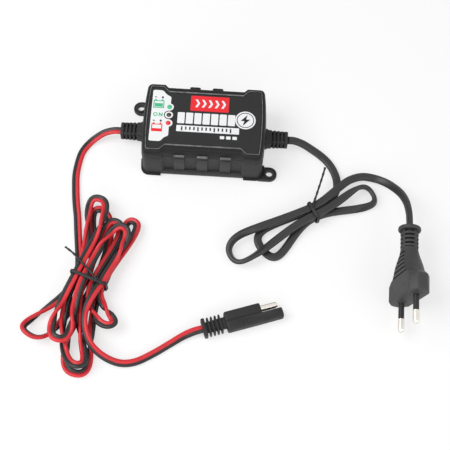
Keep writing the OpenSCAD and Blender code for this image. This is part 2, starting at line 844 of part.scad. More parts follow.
// A twist tie round the waist of a hank, with its twisted end lying along the given route
module tie(h, columns, layers, w, t, tail) {
    gap = 0.3;
    inner_w = (columns - 1) * abs(h[2]) + w + 2 * gap;
    z0 = h[4] + h[5] - t / 2 - gap;
    z1 = h[4] + h[5] + (layers - 1) * h[3] + t / 2 + gap;
    color(soft_black) {
        difference() {
            hoop(h, inner_w + 2 * tie_t, z0 - tie_t, z1 + tie_t, 1.6);
            hoop_core(h, inner_w, z0, z1);
        }
        translate([tail[0][0], tail[0][1], z1 + 0.4]) cylinder(h = 2.2, r = 1.2);
        tube([for (p = tail) [p[0], p[1], z1 + p[2], 0]], round_eight(tie_t));
    }
}

module hoop_core(h, w, z0, z1) {
    translate([h[0][0], h[0][1], 0]) rotate([0, 0, -h[1]])
        translate([-w / 2, -tie_t, z0]) cube([w, 2 * tie_t, z1 - z0]);
}

module mains_tie() {
    tie(mains_hank_shape, 2, 2, mains_w, mains_t,
        [[72, -47, 1], [73.5, -43, 1.6], [75.5, -36, 2.2], [78, -27, 3], [79.5, -21, 4]]);
}

module dc_tie() {
    tie(dc_hank_shape, 4, 3, 2 * wire_d, wire_d,
        [[-59, -107.5, 1], [-63, -103, 1.4], [-69, -97, 1.2], [-75, -91, 0.2], [-81, -86, -1.6]]);
}

// ---- Strain reliefs ----

module bar(w, h, x0, x1) {
    r = 1.4;
    translate([x0, 0, relief_z]) rotate([90, 0, 90]) linear_extrude(x1 - x0) union() {
        square([w - 2 * r, h], center = true);
        square([w, h - 2 * r], center = true);
        for (x = [-1, 1]) for (y = [-1, 1]) translate([x * (w / 2 - r), y * (h / 2 - r)]) circle(r = r);
    }
}

// Moulded block with four grooves, a little smaller towards its tip
module strain_relief() {
    neck_w = relief_hole_w - 2 * fit;
    neck_h = relief_hole_h - 2 * fit;
    step = (relief_l - 2.5) / 5;
    bar(relief_w, relief_h, relief_root, wall_x - wall - fit);
    bar(neck_w, neck_h, relief_root + 1, wall_x + 1);
    bar(relief_w + 1, relief_h + 1, wall_x + fit, wall_x + 1.5);
    bar(neck_w - 1.4, neck_h - 1, wall_x, relief_tip);
    for (k = [0 : 3]) bar(relief_w - 0.3 * k, relief_h - 0.3 * k,
        wall_x + 1.4 + step * (k + 0.45), wall_x + 1.4 + step * (k + 1));
    bar(relief_w - 0.6, relief_h - 0.6, relief_tip - 2.2, relief_tip);
}

module mains_strain_relief() {
    color(soft_black) strain_relief();
}

module dc_strain_relief() {
    color(soft_black) rotate([0, 0, 180]) strain_relief();
}

// ---- Wires inside the case ----

wire_out = relief_root;

// Two wires from the lead down to the board near its edge
module inner_wire(tint, way) {
    color(tint) tube([
        [wire_out, way * 1.6, relief_z + 1.5, 0],
        [wire_out - 1.6, way * 1.8, relief_z + 1.8, 0],
        [wire_out - 3.5, way * 3, relief_z + 2.2, 0],
        [wire_out - 5, way * 4.2, relief_z + 1.9, 0],
        [wire_out - 5.6, way * 4.7, relief_z + 0.9, 0],
        [wire_out - 5.6, way * 4.7, board_top, 0]],
        round_eight(1.4), [-1, 0, 0], [0, 0, -1]);
}

module inner_mains_wires() {
    inner_wire("saddlebrown", 1);
    inner_wire("steelblue", -1);
}

module inner_dc_wires() {
    rotate([0, 0, 180]) {
        inner_wire(lead_red, 1);
        inner_wire([0.1, 0.1, 0.1], -1);
    }
}

// ---- Mains plug: built with its back at the origin and its pins along +Z ----

module at_plug() {
    translate(plug_back) rotate([0, 0, plug_turn]) rotate([90, 0, 0]) rotate([0, 0, plug_roll])
        children();
}

plug_body_l = 15;
pin_root = 6;
// Radius of a pin's metal core inside its sleeve, and of the sleeve
core_r = pin_d / 2 - 0.5;
sleeve_r = pin_d / 2 - 0.2;

module plug_section(k) {
    flat = plug_w / 2 - 4.65;
    polygon([for (s = [
        [-plug_w / 2, -3], [-flat, -plug_h / 2], [flat, -plug_h / 2], [plug_w / 2, -3],
        [plug_w / 2, 3], [flat, plug_h / 2], [-flat, plug_h / 2], [-plug_w / 2, 3]]) s * k]);
}

module plug_body() {
    color(lead_black) at_plug() difference() {
        union() {
            cylinder(h = 2.6, r = 7.1);
            cylinder(h = 16, r = 4.6);
            for (z = [4.3, 7.1, 9.9, 12.7]) translate([0, 0, z]) cylinder(h = 1.5, r = 5.6);
            hull() {
                translate([0, 0, 14.4]) cylinder(h = 1, r = 5.6, $fn = 32);
                translate([0, 0, plug_l - plug_body_l]) linear_extrude(1) plug_section(1);
            }
            translate([0, 0, plug_l - plug_body_l]) linear_extrude(plug_body_l) plug_section(1);
        }
        for (s = [-1, 1]) translate([s * pin_gap / 2, 0, plug_l - pin_root])
            cylinder(h = pin_root + 1, r = pin_d / 2);
    }
}

module plug_pins() {
    color(bright_metal) at_plug() for (s = [-1, 1])
        translate([s * pin_gap / 2, 0, plug_l - pin_root]) {
            cylinder(h = pin_root + sleeve_l + weld, r = core_r);
            translate([0, 0, pin_root + sleeve_l])
                cylinder(h = pin_l - sleeve_l - pin_d / 2, r = pin_d / 2);
            translate([0, 0, pin_root + pin_l - pin_d / 2]) sphere(d = pin_d);
        }
}

module pin_sleeves() {
    color(soft_black) at_plug() for (s = [-1, 1])
        translate([s * pin_gap / 2, 0, plug_l - pin_root]) difference() {
            cylinder(h = pin_root + sleeve_l, r = sleeve_r);
            translate([0, 0, -1]) cylinder(h = pin_root + sleeve_l + 2, r = core_r + 0.05);
        }
}

// ---- Battery connector: built with its back at the origin and its nose along +X ----

module at_connector() {
    translate(conn_back) rotate([0, 0, conn_turn]) children();
}

module conn_bar(w, t, x0, x1, y = 0) {
    r = min(2, t / 2 - 0.3);
    translate([x0, y, 0]) rotate([90, 0, 90]) linear_extrude(x1 - x0) union() {
        square([w - 2 * r, t], center = true);
        square([w, t - 2 * r], center = true);
        for (a = [-1, 1]) for (b = [-1, 1]) translate([a * (w / 2 - r), b * (t / 2 - r)]) circle(r = r);
    }
}

nose_end = conn_tail + conn_l + conn_nose;
nose_w = conn_gap;
socket_r = conn_pin_d / 2 + 0.6;
pin_y = conn_gap / 2;

module connector_body() {
    rib_step = (conn_tail - 2.4) / 5;
    color(soft_black) at_connector() difference() {
        union() {
            conn_bar(conn_w - 0.8, conn_t, 0, 2.2);
            conn_bar(7, 4.6, 0, conn_tail + 1);
            for (k = [1 : 4]) conn_bar(conn_w - 1.2, conn_t - 0.4,
                2.2 + rib_step * (k - 0.45), 2.2 + rib_step * k);
            conn_bar(conn_w, conn_t, conn_tail, conn_tail + conn_l);
            conn_bar(nose_w + 0.8, conn_t, conn_tail + conn_l - 1, nose_end, -pin_y - 0.1);
        }
        translate([conn_tail + conn_l - 6, -pin_y, 0]) rotate([0, 90, 0])
            cylinder(h = conn_nose + 8, r = socket_r);
        translate([conn_tail + conn_l - 6, pin_y, 0]) rotate([0, 90, 0])
            cylinder(h = 8, r = conn_pin_d / 2);
    }
}

module connector_pin() {
    color(bright_metal) at_connector() translate([conn_tail + conn_l - 6, pin_y, 0]) rotate([0, 90, 0]) {
        cylinder(h = 6 + weld, r = conn_pin_d / 2 - 0.1);
        translate([0, 0, 6]) cylinder(h = 9.5, r = conn_pin_d / 2);
        translate([0, 0, 15]) cylinder(h = 1.6, r = conn_pin_d / 2 - 0.5);
    }
}

module connector_socket() {
    color(bright_metal) at_connector() translate([conn_tail + conn_l - 6, -pin_y, 0]) rotate([0, 90, 0])
        difference() {
            cylinder(h = conn_nose + 5, r = socket_r - 0.05);
            translate([0, 0, 3]) cylinder(h = conn_nose + 5, r = conn_pin_d / 2 + 0.1);
        }
}

base_shell();
top_cover();
case_seal();
case_screws();
overlay_label();
led_green();
led_on();
led_red();
led_holder();
circuit_board();
board_screws();
transformer_core();
transformer_bobbin();
transformer_winding();
mains_capacitor();
rectifier_bridge();
mains_fuse();
suppression_capacitor();
mains_choke();
power_transistor();
heat_sink();
transistor_screw();
output_diode();
output_capacitor();
output_choke();
optocoupler();
control_chip();
inner_mains_wires();
inner_dc_wires();
mains_strain_relief();
dc_strain_relief();
mains_lead_case_end();
mains_hank();
mains_lead_plug_end();
mains_tie();
plug_body();
plug_pins();
pin_sleeves();
dc_lead_case_end();
dc_hank();
dc_lead_connector_end();
dc_tie();
connector_body();
connector_pin();
connector_socket();
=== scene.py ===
import json
import math

import bmesh
import bpy
from mathutils import Matrix, Vector


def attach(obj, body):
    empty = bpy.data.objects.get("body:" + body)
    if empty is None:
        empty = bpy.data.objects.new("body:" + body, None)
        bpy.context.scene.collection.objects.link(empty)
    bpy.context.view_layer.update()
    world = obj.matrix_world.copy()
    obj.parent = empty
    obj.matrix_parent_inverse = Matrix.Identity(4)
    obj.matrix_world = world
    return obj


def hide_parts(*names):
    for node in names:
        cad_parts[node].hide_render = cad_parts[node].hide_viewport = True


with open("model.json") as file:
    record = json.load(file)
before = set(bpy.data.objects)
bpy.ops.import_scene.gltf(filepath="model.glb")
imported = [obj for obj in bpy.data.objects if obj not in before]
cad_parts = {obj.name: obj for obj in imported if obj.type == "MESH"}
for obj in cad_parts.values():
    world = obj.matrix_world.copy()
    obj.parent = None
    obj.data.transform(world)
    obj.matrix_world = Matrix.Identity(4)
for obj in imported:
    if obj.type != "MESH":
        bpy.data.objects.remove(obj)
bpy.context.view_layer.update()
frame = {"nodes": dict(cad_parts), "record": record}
MM = 0.001


# -------------------- camera

def make_camera():
    """The photograph's view: its distance, its angles in degrees and its focal length in pixels."""
    distance, elevation, azimuth, roll = 600 * MM, 65, -0.2, 3.5
    focal_pixels, image_pixels, sensor = 935, 450, 36
    target = Vector((17, -60, 0)) * MM
    el, az, turn = (math.radians(a) for a in (elevation, azimuth, roll))
    back = Vector((math.sin(az) * math.cos(el), -math.cos(az) * math.cos(el), math.sin(el)))
    right = Vector((0, 0, 1)).cross(back).normalized()
    up = back.cross(right)
    right, up = (right * math.cos(turn) + up * math.sin(turn),
                 up * math.cos(turn) - right * math.sin(turn))
    data = bpy.data.cameras.new("camera")
    data.sensor_width = sensor
    data.lens = sensor * focal_pixels / image_pixels
    data.clip_start, data.clip_end = 0.01, 50
    camera = bpy.data.objects.new("camera", data)
    place = target + back * distance
    axes = Matrix((right, up, back)).transposed()
    camera.matrix_world = Matrix.Translation(place) @ axes.to_4x4()
    bpy.context.scene.collection.objects.link(camera)
    bpy.context.scene.camera = camera


make_camera()


# -------------------- materials

def material(name, colour, roughness=0.5, metallic=0, grain=0, grain_size=1, shade=0,
             shade_size=10, specular=0.5, edge_highlight=0, crevice_shade=0):
    """A procedural finish: colour and roughness vary softly, and a fine noise gives the grain.
    Grain is the bump's height, crevice_shade how far the painted shade in the corners reaches, and both
    and the sizes are in mm.
    Edge_highlight is how far the convex edges go over to a lighter colour, a painted highlight."""
    mat = bpy.data.materials.new(name)
    mat.use_nodes = True
    nodes, links = mat.node_tree.nodes, mat.node_tree.links
    shader = nodes["Principled BSDF"]
    shader.inputs["Metallic"].default_value = metallic
    shader.inputs["Specular IOR Level"].default_value = specular
    where = nodes.new("ShaderNodeTexCoord").outputs["Object"]

    def noise(size, detail):
        node = nodes.new("ShaderNodeTexNoise")
        node.inputs["Scale"].default_value = 1 / (size * MM)
        node.inputs["Detail"].default_value = detail
        links.new(where, node.inputs["Vector"])
        return node.outputs["Fac"]

    def spread(source, low, high, start=0.3, end=0.7):
        """The source's range from start to end, made to run from low to high."""
        node = nodes.new("ShaderNodeMapRange")
        for key, value in (("From Min", start), ("From Max", end), ("To Min", low), ("To Max", high)):
            node.inputs[key].default_value = value
        links.new(source, node.inputs["Value"])
        return node.outputs["Result"]

    def blend(factor, first, second):
        """A colour between two, each of which is a list of values or a node's output."""
        node = nodes.new("ShaderNodeMix")
        node.data_type = "RGBA"
        links.new(factor, node.inputs["Factor"])
        for key, value in (("A", first), ("B", second)):
            if isinstance(value, list):
                node.inputs[key].default_value = (*value, 1)
            else:
                links.new(value, node.inputs[key])
        return node.outputs["Result"]

    dark = [c * (1 - shade) for c in colour]
    light = [min(1, c * (1 + shade)) for c in colour]
    out = blend(spread(noise(shade_size, 3), 0, 1), dark, light)
    # painted highlight: convex edges, found by their pointiness, go over to a lighter colour as if they
    # caught the light
    if edge_highlight:
        edge = nodes.new("ShaderNodeNewGeometry").outputs["Pointiness"]
        highlight_colour = [min(1, c * 1.6 + 0.02) for c in colour]
        out = blend(spread(edge, 0, edge_highlight, 0.52, 0.62), out, highlight_colour)
    # painted shade: ambient occlusion darkens the colour in corners and recesses, where shade falls
    if crevice_shade:
        occlusion = nodes.new("ShaderNodeAmbientOcclusion")
        occlusion.only_local = True
        occlusion.inputs["Distance"].default_value = crevice_shade * MM
        painted_shade = nodes.new("ShaderNodeVectorMath")
        painted_shade.operation = "SCALE"
        links.new(out, painted_shade.inputs[0])
        links.new(spread(occlusion.outputs["AO"], 0.12, 1, 0.08, 0.6), painted_shade.inputs["Scale"])
        out = painted_shade.outputs["Vector"]
    links.new(out, shader.inputs["Base Color"])
    links.new(spread(noise(shade_size / 4, 4), roughness * 0.88, min(1, roughness * 1.12)),
              shader.inputs["Roughness"])
    if grain:
        bump = nodes.new("ShaderNodeBump")
        bump.inputs["Distance"].default_value = grain * MM
        bump.inputs["Strength"].default_value = 1
        links.new(noise(grain_size, 2), bump.inputs["Height"])
        links.new(bump.outputs["Normal"], shader.inputs["Normal"])
    return mat


# the edge highlights and corner darkening these finishes set are painted highlight and painted shade
SHELL = dict(grain=0.02, grain_size=0.35, shade=0.12, edge_highlight=0.5, crevice_shade=1.6)
PRINT = dict(grain=0.002, grain_size=0.4, specular=0.2)
WIRE = dict(grain=0.006, grain_size=0.6, specular=0.4, crevice_shade=3)
# Each finish: its colour, its roughness and whatever differs from a plain one
LOOKS = {
    "case": ((0.026, 0.026, 0.027), 0.5, dict(SHELL, specular=0.28)),
    # the cover is darker than the case: painted shade on its sloping walls
    "cover": ((0.012, 0.012, 0.0125), 0.45, dict(SHELL, specular=0.18)),
    # painted highlight: a lighter copy of the cover's finish for raised edges that catch the light
    "rim": ((0.12, 0.12, 0.125), 0.4, dict(shade=0.5, shade_size=4)),
    # the feet are near black: partly a black rubber-like finish, partly painted shade where they sit
    # under the case
    "foot": ((0.006, 0.006, 0.006), 0.6, dict(grain=0.01, grain_size=0.35, shade=0.1, specular=0.2)),
    "ink_white": ((0.8, 0.81, 0.82), 0.5, dict(PRINT, shade=0.02, specular=0.5)),
    "ink_red": ((0.78, 0.03, 0.04), 0.5, dict(PRINT, shade=0.03)),
    "ink_green": ((0.07, 0.46, 0.25), 0.5, dict(PRINT, shade=0.04)),
    "ink_dark": ((0.015, 0.013, 0.02), 0.5, dict(PRINT, shade=0.04)),
    "label": ((0.022, 0.022, 0.0225), 0.45,
              dict(grain=0.004, grain_size=0.5, shade=0.06, specular=0.2)),
    "seal": ((0.02, 0.02, 0.02), 0.7, dict(grain=0.01, grain_size=0.4)),
    "steel": ((0.62, 0.62, 0.63), 0.32, dict(metallic=1, grain=0.005, grain_size=0.3)),
    "led_green": ((0.07, 0.5, 0.24), 0.2, dict(shade=0.1, shade_size=1.5)),
    "led_clear": ((0.07, 0.045, 0.04), 0.2, dict(shade=0.25, shade_size=1, specular=0.35)),
    "led_red": ((0.7, 0.035, 0.045), 0.2, dict(shade=0.1, shade_size=1.5)),
    "white_plastic": ((0.7, 0.7, 0.68), 0.5, dict(grain=0.01, grain_size=0.4)),
    "board": ((0.015, 0.13, 0.05), 0.35, dict(shade=0.25, shade_size=3)),
    "ferrite": ((0.03, 0.03, 0.032), 0.6, dict(grain=0.02, grain_size=0.3, shade=0.2)),
    "bobbin": ((0.65, 0.55, 0.36), 0.5, dict(shade=0.1)),
    "copper": ((0.55, 0.22, 0.06), 0.35, dict(metallic=0.6, shade=0.3, shade_size=1)),
    "component_black": ((0.02, 0.02, 0.022), 0.4, dict(grain=0.01, grain_size=0.3)),
    "component_yellow": ((0.55, 0.38, 0.03), 0.35, dict(shade=0.1)),
    "aluminium": ((0.7, 0.7, 0.71), 0.35, dict(metallic=1, shade=0.05)),
    "inner_wire": ((0.2, 0.07, 0.02), 0.4, dict(shade=0.1)),
    "soft_black": ((0.02, 0.02, 0.021), 0.55,
                   dict(grain=0.015, grain_size=0.3, shade=0.1, specular=0.25, edge_highlight=0.4, crevice_shade=2)),
    "lead_black": ((0.024, 0.024, 0.025), 0.4,
                   dict(grain=0.01, grain_size=0.6, shade=0.1, specular=0.4, crevice_shade=2)),
    "lead_red": ((0.6, 0.02, 0.03), 0.38, dict(WIRE, shade=0.08)),
    "wire_black": ((0.012, 0.012, 0.013), 0.38, dict(WIRE, shade=0.1)),
    "tie": ((0.014, 0.014, 0.015), 0.42, dict(grain=0.02, grain_size=0.3, shade=0.1, specular=0.35)),
    "plug": ((0.04, 0.04, 0.041), 0.52,
             dict(grain=0.012, grain_size=0.35, shade=0.1, specular=0.3, edge_highlight=0.4, crevice_shade=2)),
    "pin": ((0.78, 0.74, 0.68), 0.22,
            dict(metallic=1, grain=0.003, grain_size=0.5, shade=0.06, shade_size=2)),
    "sleeve": ((0.016, 0.016, 0.016), 0.48, dict(grain=0.006, grain_size=0.4, specular=0.35)),
}
finishes = {name: material(name, colour, roughness, **rest)
            for name, (colour, roughness, rest) in LOOKS.items()}

for part in frame["record"]["subparts"]:
    mesh = frame["nodes"][part["node"]].data
    mesh.materials.clear()
    mesh.materials.append(finishes[part["material_slot"]])


# -------------------- mesh helpers

def add_piece(name, mesh, slot, node=(), mats=()):
    """Links a mesh as a piece that rides with the charger and stands for the given nodes."""
    piece = bpy.data.objects.new(name, mesh)
    bpy.context.scene.collection.objects.link(piece)
    for mat in mats or (finishes[slot],):
        mesh.materials.append(mat)
    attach(piece, "root")
    if node:
        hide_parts(*([node] if isinstance(node, str) else node))
    return piece


def smooth_mesh(mesh, angle=35):
    """Smooth shading, with the edges that turn by more than the angle left sharp."""
    mesh.shade_smooth()
    mesh.set_sharp_from_angle(angle=math.radians(angle))


def add_rings(bm, rings, place=None, slots=None):
    """A closed solid through equal rings of points, in mm; slots gives each face round a ring its
    material."""
    rows = [[bm.verts.new(place @ Vector(p) if place else p) for p in ring] for ring in rings]
    count = len(rings[0])
    for low, high in zip(rows, rows[1:]):
        for k in range(count):
            after = (k + 1) % count
            face = bm.faces.new((low[k], low[after], high[after], high[k]))
            if slots:
                face.material_index = slots[k]
    bm.faces.new(list(reversed(rows[0])))
    bm.faces.new(rows[-1])


def to_mesh(bm, name, angle=35):
    """The finished mesh, brought from mm to metres."""
    bmesh.ops.recalc_face_normals(bm, faces=bm.faces)
    bm.transform(Matrix.Scale(MM, 4))
    mesh = bpy.data.meshes.new(name)
    bm.to_mesh(mesh)
    bm.free()
    smooth_mesh(mesh, angle)
    return mesh


# -------------------- cords

MAINS_W, MAINS_T = 5.2, 3.2
WIRE_D = 2.5
TIE_T = 1.2
# Where the plug's and the connector's back ends are, and how they are turned, in degrees
PLUG_BACK, PLUG_TURN, PLUG_ROLL = Vector((132, -63, 17.8)), -2.5, 73.5
CONN_BACK, CONN_TURN = Vector((7, -132, 3.8)), 19
RELIEF_TIP, RELIEF_Z = 55, 9


def ease(t):
    """A soft step from 0 to 1."""
    t = min(max(t, 0), 1)
    return t * t * (3 - 2 * t)


def sin(a):
    return math.sin(math.radians(a))


def cos(a):
    return math.cos(math.radians(a))


def tan(a):
    return math.tan(math.radians(a))


class Hank:
    """Loops of lead drawn in at a waist, as in the CAD model. Sizes are in mm.
    Strands give the column and layer of each pass through the waist. Lobes give each loop's tip in
    x and y, its spread, its level in layers, where its drop starts, its side, and its turn."""

    def __init__(self, middle, lean, column, layer, lowest, lift, strands, lobes):
        self.middle = Vector(middle)
        self.along = Vector((sin(lean), cos(lean)))
        self.across = Vector((cos(lean), -sin(lean)))
        self.column, self.layer, self.lowest, self.lift = column, layer, lowest, lift
        self.strands, self.lobes = strands, lobes

    def strand(self, i):
        column, layer = self.strands[i]
        xy = self.middle + self.across * column * self.column
        return Vector((xy.x, xy.y, self.lowest + layer * self.layer + self.lift))

    def lobe_point(self, k, half, t, rise):
        """Point t of the way from the waist to the tip of lobe k, on its first or second half."""
        tip_x, tip_y, spread, level, drop, first, turn = self.lobes[k]
        near, far, start = self.strand(k), self.strand(k + 1), self.strand(k + half)
        a, tip = start.xy, Vector((tip_x, tip_y))
        axis = (tip - (near.xy + far.xy) / 2).normalized()
        side = Vector((axis.y, -axis.x))
        if side.dot(self.across) < 0:
            side = -side
        way = (1 if half else -1) * first
        reach = (tip - a).length / 2 * (-1 if k % 2 == 0 else 1)
        b, c = a + self.along * reach, tip + side * way * spread
        xy = (a * (1 - t) ** 3 + b * 3 * t * (1 - t) ** 2
              + c * 3 * t * t * (1 - t) + tip * t ** 3)
        # past the tie the lead sinks by the lift, and it turns on the middle of its way to the tip
        bare = start.z - self.lift
        z = (start.z - self.lift * ease((t - 0.05) / 0.45)
             + (self.lowest + level * self.layer - bare) * ease((t - drop) / (1 - drop)))
        roll = turn * ease((t - 0.25) / 0.45)
        return (xy.x, xy.y, z + abs(sin(roll)) * rise, roll)

    def route(self, rise, steps=24):
        """All the loops: down each first half and back along each second half."""
        points = [self.lobe_point(0, 0, 0, rise)]
        for k in range(len(self.lobes)):
            for half in (0, 1):
                for i in range(1, steps + 1):
                    t = i / steps if half == 0 else 1 - i / steps
                    # equal steps of t crowd at the waist, so they are spread towards the tip
                    points.append(self.lobe_point(k, half, 1 - (1 - t) ** 1.25, rise))
        return points


mains_hank = Hank(
    (73, -50), 61, -(MAINS_W + 0.5), MAINS_T + 0.7, MAINS_T / 2 + 0.1, TIE_T + 0.5,
    [(0.5, 0), (-0.5, 0), (-0.5, 1), (0.5, 1)],
    [(42, -77, 20, 0, 0.5, 1, 0),
     (112, -33, 15, 0, 0.45, -1, 70),
     (22, -83, 17, 0, 0.6, -1, 60)])

dc_hank = Hank(
    (-64.5, -105.5), 20, 2 * WIRE_D + 0.6, WIRE_D + 1.1, WIRE_D / 2 + 0.1, TIE_T + 0.5,
    [(-1.5, 0), (-0.5, 0), (0.5, 0), (1.5, 0), (1.5, 1), (0.5, 1),
     (-0.5, 1), (-1.5, 1), (-1.5, 2), (-0.5, 2), (1.5, 2)],
    [(-97.5, -142, 15, 1.5, 0.55, 1, 120),
     (-64, -55.5, 11, 0.5, 0.75, 1, 0),
     (-66.5, -163.5, 15, 0.25, 0.7, 1, 180),
     (-41.5, -63, 10, 0.75, 0.75, 1, 0),
     (-48, -134, 8, 1.9, 0.3, -1, 180),
     (-52, -65, 9.5, 1.3, 0.5, -1, 0),
     (-64.5, -160.5, 11, 2.45, 0.5, -1, 180),
     (-65, -49.5, 12.5, 1.55, 0.72, 1, 180),
     (-78, -145.5, 11, 2.75, 0.35, 1, 180),
     (-46.5, -70.5, 8.5, 2.75, 0.5, 1, 180)])

# Free stretches, x, y, z and roll, with the same points as the CAD model
mains_from_case = [
    (55, 0, 9, 0), (60, 0, 8.6, 0), (66, -1, 6.4, 0), (72, -3, 3.4, 0), (78, -6.5, 1.9, 0),
    (83, -11.5, 1.7, 0), (86.5, -17.5, 1.7, 0), (88.5, -24, 1.7, 0), (88.5, -30.5, 1.7, 0),
    (86, -36.5, 1.8, 0), (82, -41.5, 2.4, 0), (77, -45, 3.2, 0)]
mains_to_plug = [
    (78.1, -43.2, 7.9, 0), (84, -37.4, 7.5, 0), (90, -31, 6.4, 0), (96.5, -25, 5.2, 5),
    (104.5, -21.3, 3.8, 10), (112.5, -21.3, 2.7, 22), (119.5, -24.3, 4, 36),
    (125, -29.5, 6.9, 50), (129, -36, 10.8, 62), (131.2, -43.5, 14.5, 70),
    (132, -51, 17, PLUG_ROLL), (132.1, -57, 17.8, PLUG_ROLL), (*PLUG_BACK, PLUG_ROLL)]
dc_from_case = [
    (-55, 0, 9, 0), (-60, 0, 8.6, 0), (-66, -0.8, 6.4, 0), (-71.5, -3, 3.2, 0),
    (-76.5, -7.5, 1.5, 0), (-80, -14, 1.35, 0), (-81.5, -22, 1.35, 0), (-82, -31, 1.35, 0),
    (-81, -41, 1.35, 0), (-79.5, -51, 1.35, 0), (-77.5, -61, 1.35, 0), (-76, -71, 1.35, 0),
    (-74.5, -80, 1.4, 0), (-73.2, -88, 2, 0), (-72.3, -95.5, 2.8, 0)]
dc_to_connector = [
    (-60.6, -116.5, 10.8, 15), (-63.6, -125, 10.2, 30), (-63.9, -133, 10.5, 45),
    (-62, -141, 9.6, 50), (-57.5, -148.3, 8.3, 50), (-50, -153.6, 5.8, 50), (-41, -156, 3.2, 50),
    (-32, -154.6, 2.4, 50), (-22.5, -149.4, 2.35, 50), (-13, -142.8, 2.35, 50),
    (-5, -137.2, 2.7, 35), (1.6, -133.8, 3.3, 15), (*CONN_BACK, 0)]


def curve_through(points, steps):
    """Catmull-Rom curve through points of any number of values, with steps per stretch."""
    points = [Vector(p) for p in points]
    ends = [2 * points[0] - points[1]] + points + [2 * points[-1] - points[-2]]
    out = []
    for a, b, c, d in zip(ends, ends[1:], ends[2:], ends[3:]):
        for i in range(steps):
            t = i / steps
            out.append(((2 * b) + (c - a) * t + (2 * a - 5 * b + 4 * c - d) * t * t
                        + (3 * b - 3 * c + d - a) * t ** 3) / 2)
    return [tuple(p) for p in out] + [tuple(points[-1])]


def whole_route(before, hank, rise, after):
    """Free stretch, hank and free stretch as one smooth run of points, in mm."""
    loops = hank.route(rise)
    start = curve_through(before + loops[:2], 4)[:-4]
    finish = curve_through(loops[-2:] + after, 4)[4:]
    return start[:-1] + loops + finish[1:]


def frames(route, first, last):
    """Place, wide direction and thin direction at each point of a route."""
    centre = [Vector(p[:3]) for p in route]
    heads = [(after - before).normalized() for before, after in zip(centre, centre[2:])]
    out = []
    for place, head, (*_, roll) in zip(centre, [Vector(first), *heads, Vector(last)], route):
        side = Vector((-head.y, head.x, 0)).normalized()
        over = head.cross(side)
        out.append((place, side * cos(roll) + over * sin(roll),
                    over * cos(roll) - side * sin(roll)))
    return out


def sweep(name, route, section, ends, angle, slots=None):
    """A lead with one section along a route, which starts and ends in the directions in ends."""
    bm = bmesh.new()
    add_rings(bm, [[place + wide * w + thin * t for w, t in section]
                   for place, wide, thin in frames(route, *ends)], slots=slots)
    return to_mesh(bm, name, angle)


def twin_section(wire, sides=9):
    """Two round wires side by side, with the notch between them; the first half is the +wide wire."""
    r = wire / 2
    gap_angle = 24
    angles = [-180 + gap_angle + (360 - 2 * gap_angle) * i / (sides - 1) for i in range(sides)]
    plus = [(r + r * cos(a), r * sin(a)) for a in angles]
    return plus + [(-w, -t) for w, t in plus]


def flat_section(width, thick, sides=20):
    """Flat lead with round edges and a faint groove along the middle of each side."""
    groove_depth, groove_half = 0.16, 0.5
    out = []
    for i in range(sides):
        a = 360 * (i + 0.5) / sides
        w = math.copysign(abs(cos(a)) ** 0.75, cos(a)) * width / 2
        t = math.copysign(abs(sin(a)) ** 0.6, sin(a)) * thick / 2
        groove = groove_depth * math.exp(-(w / groove_half) ** 2)
        out.append((w, t - math.copysign(groove, t)))
    return out


def length_of(route):
    return sum((Vector(b[:3]) - Vector(a[:3])).length for a, b in zip(route, route[1:]))


plug_heading = (sin(PLUG_TURN), -cos(PLUG_TURN), 0)
conn_heading = (cos(CONN_TURN), sin(CONN_TURN), 0)

mains_route = whole_route(mains_from_case, mains_hank, (MAINS_W - MAINS_T) / 2, mains_to_plug)
mains_mesh = sweep("mains_lead", mains_route, flat_section(MAINS_W, MAINS_T),
                   ((1, 0, 0), plug_heading), 180)
mains_lead = add_piece("mains_lead", mains_mesh, "lead_black",
                       ("mains_lead_case_end", "mains_hank", "mains_lead_plug_end"))

dc_route = whole_route(dc_from_case, dc_hank, WIRE_D / 2, dc_to_connector)
twin = twin_section(WIRE_D)
dc_mesh = sweep("battery_lead", dc_route, twin, ((-1, 0, 0), conn_heading), 60,
                [0] * (len(twin) // 2) + [1] * (len(twin) // 2))
battery_lead = add_piece("battery_lead", dc_mesh, "lead_red",
                         ("dc_lead_case_end", "dc_hank", "dc_lead_connector_end"),
                         (finishes["lead_red"], finishes["wire_black"]))


# -------------------- shape helpers, all in mm

def bend(before, corner, after, reach, steps=3):
    """Points of a soft corner, a short curve that starts and ends reach away from it."""
    corner = Vector(corner)
    ends = []
    for other in (before, after):
        edge = Vector(other) - corner
        ends.append(corner + edge.normalized() * min(reach, edge.length / 2))
    return [ends[0] * (1 - t) ** 2 + corner * 2 * t * (1 - t) + ends[1] * t * t
            for t in (i / steps for i in range(steps + 1))]


def soft_outline(corners, reach, steps=3):
    """A polygon whose corners are rounded over reach, which is one number or one per corner."""
    count = len(corners)
    reaches = reach if isinstance(reach, (list, tuple)) else [reach] * count
    return [p for i in range(count)
            for p in bend(corners[i - 1], corners[i], corners[(i + 1) % count], reaches[i], steps)]


def arc(centre, r, start, end, steps):
    """Points round a centre from the start angle to the end angle, in degrees."""
    centre = Vector(centre)
    angles = [start + (end - start) * i / steps for i in range(steps + 1)]
    return [centre + Vector((cos(a), sin(a))) * r for a in angles]


def soft_rectangle(width, height, reach, steps):
    w, h = width / 2, height / 2
    return soft_outline([(-w, -h), (w, -h), (w, h), (-w, h)], reach, steps)


def add_prism(bm, levels, place=None):
    """A solid through (height, outline) levels, whose outlines have as many points."""
    add_rings(bm, [[(p[0], p[1], height) for p in outline] for height, outline in levels], place)


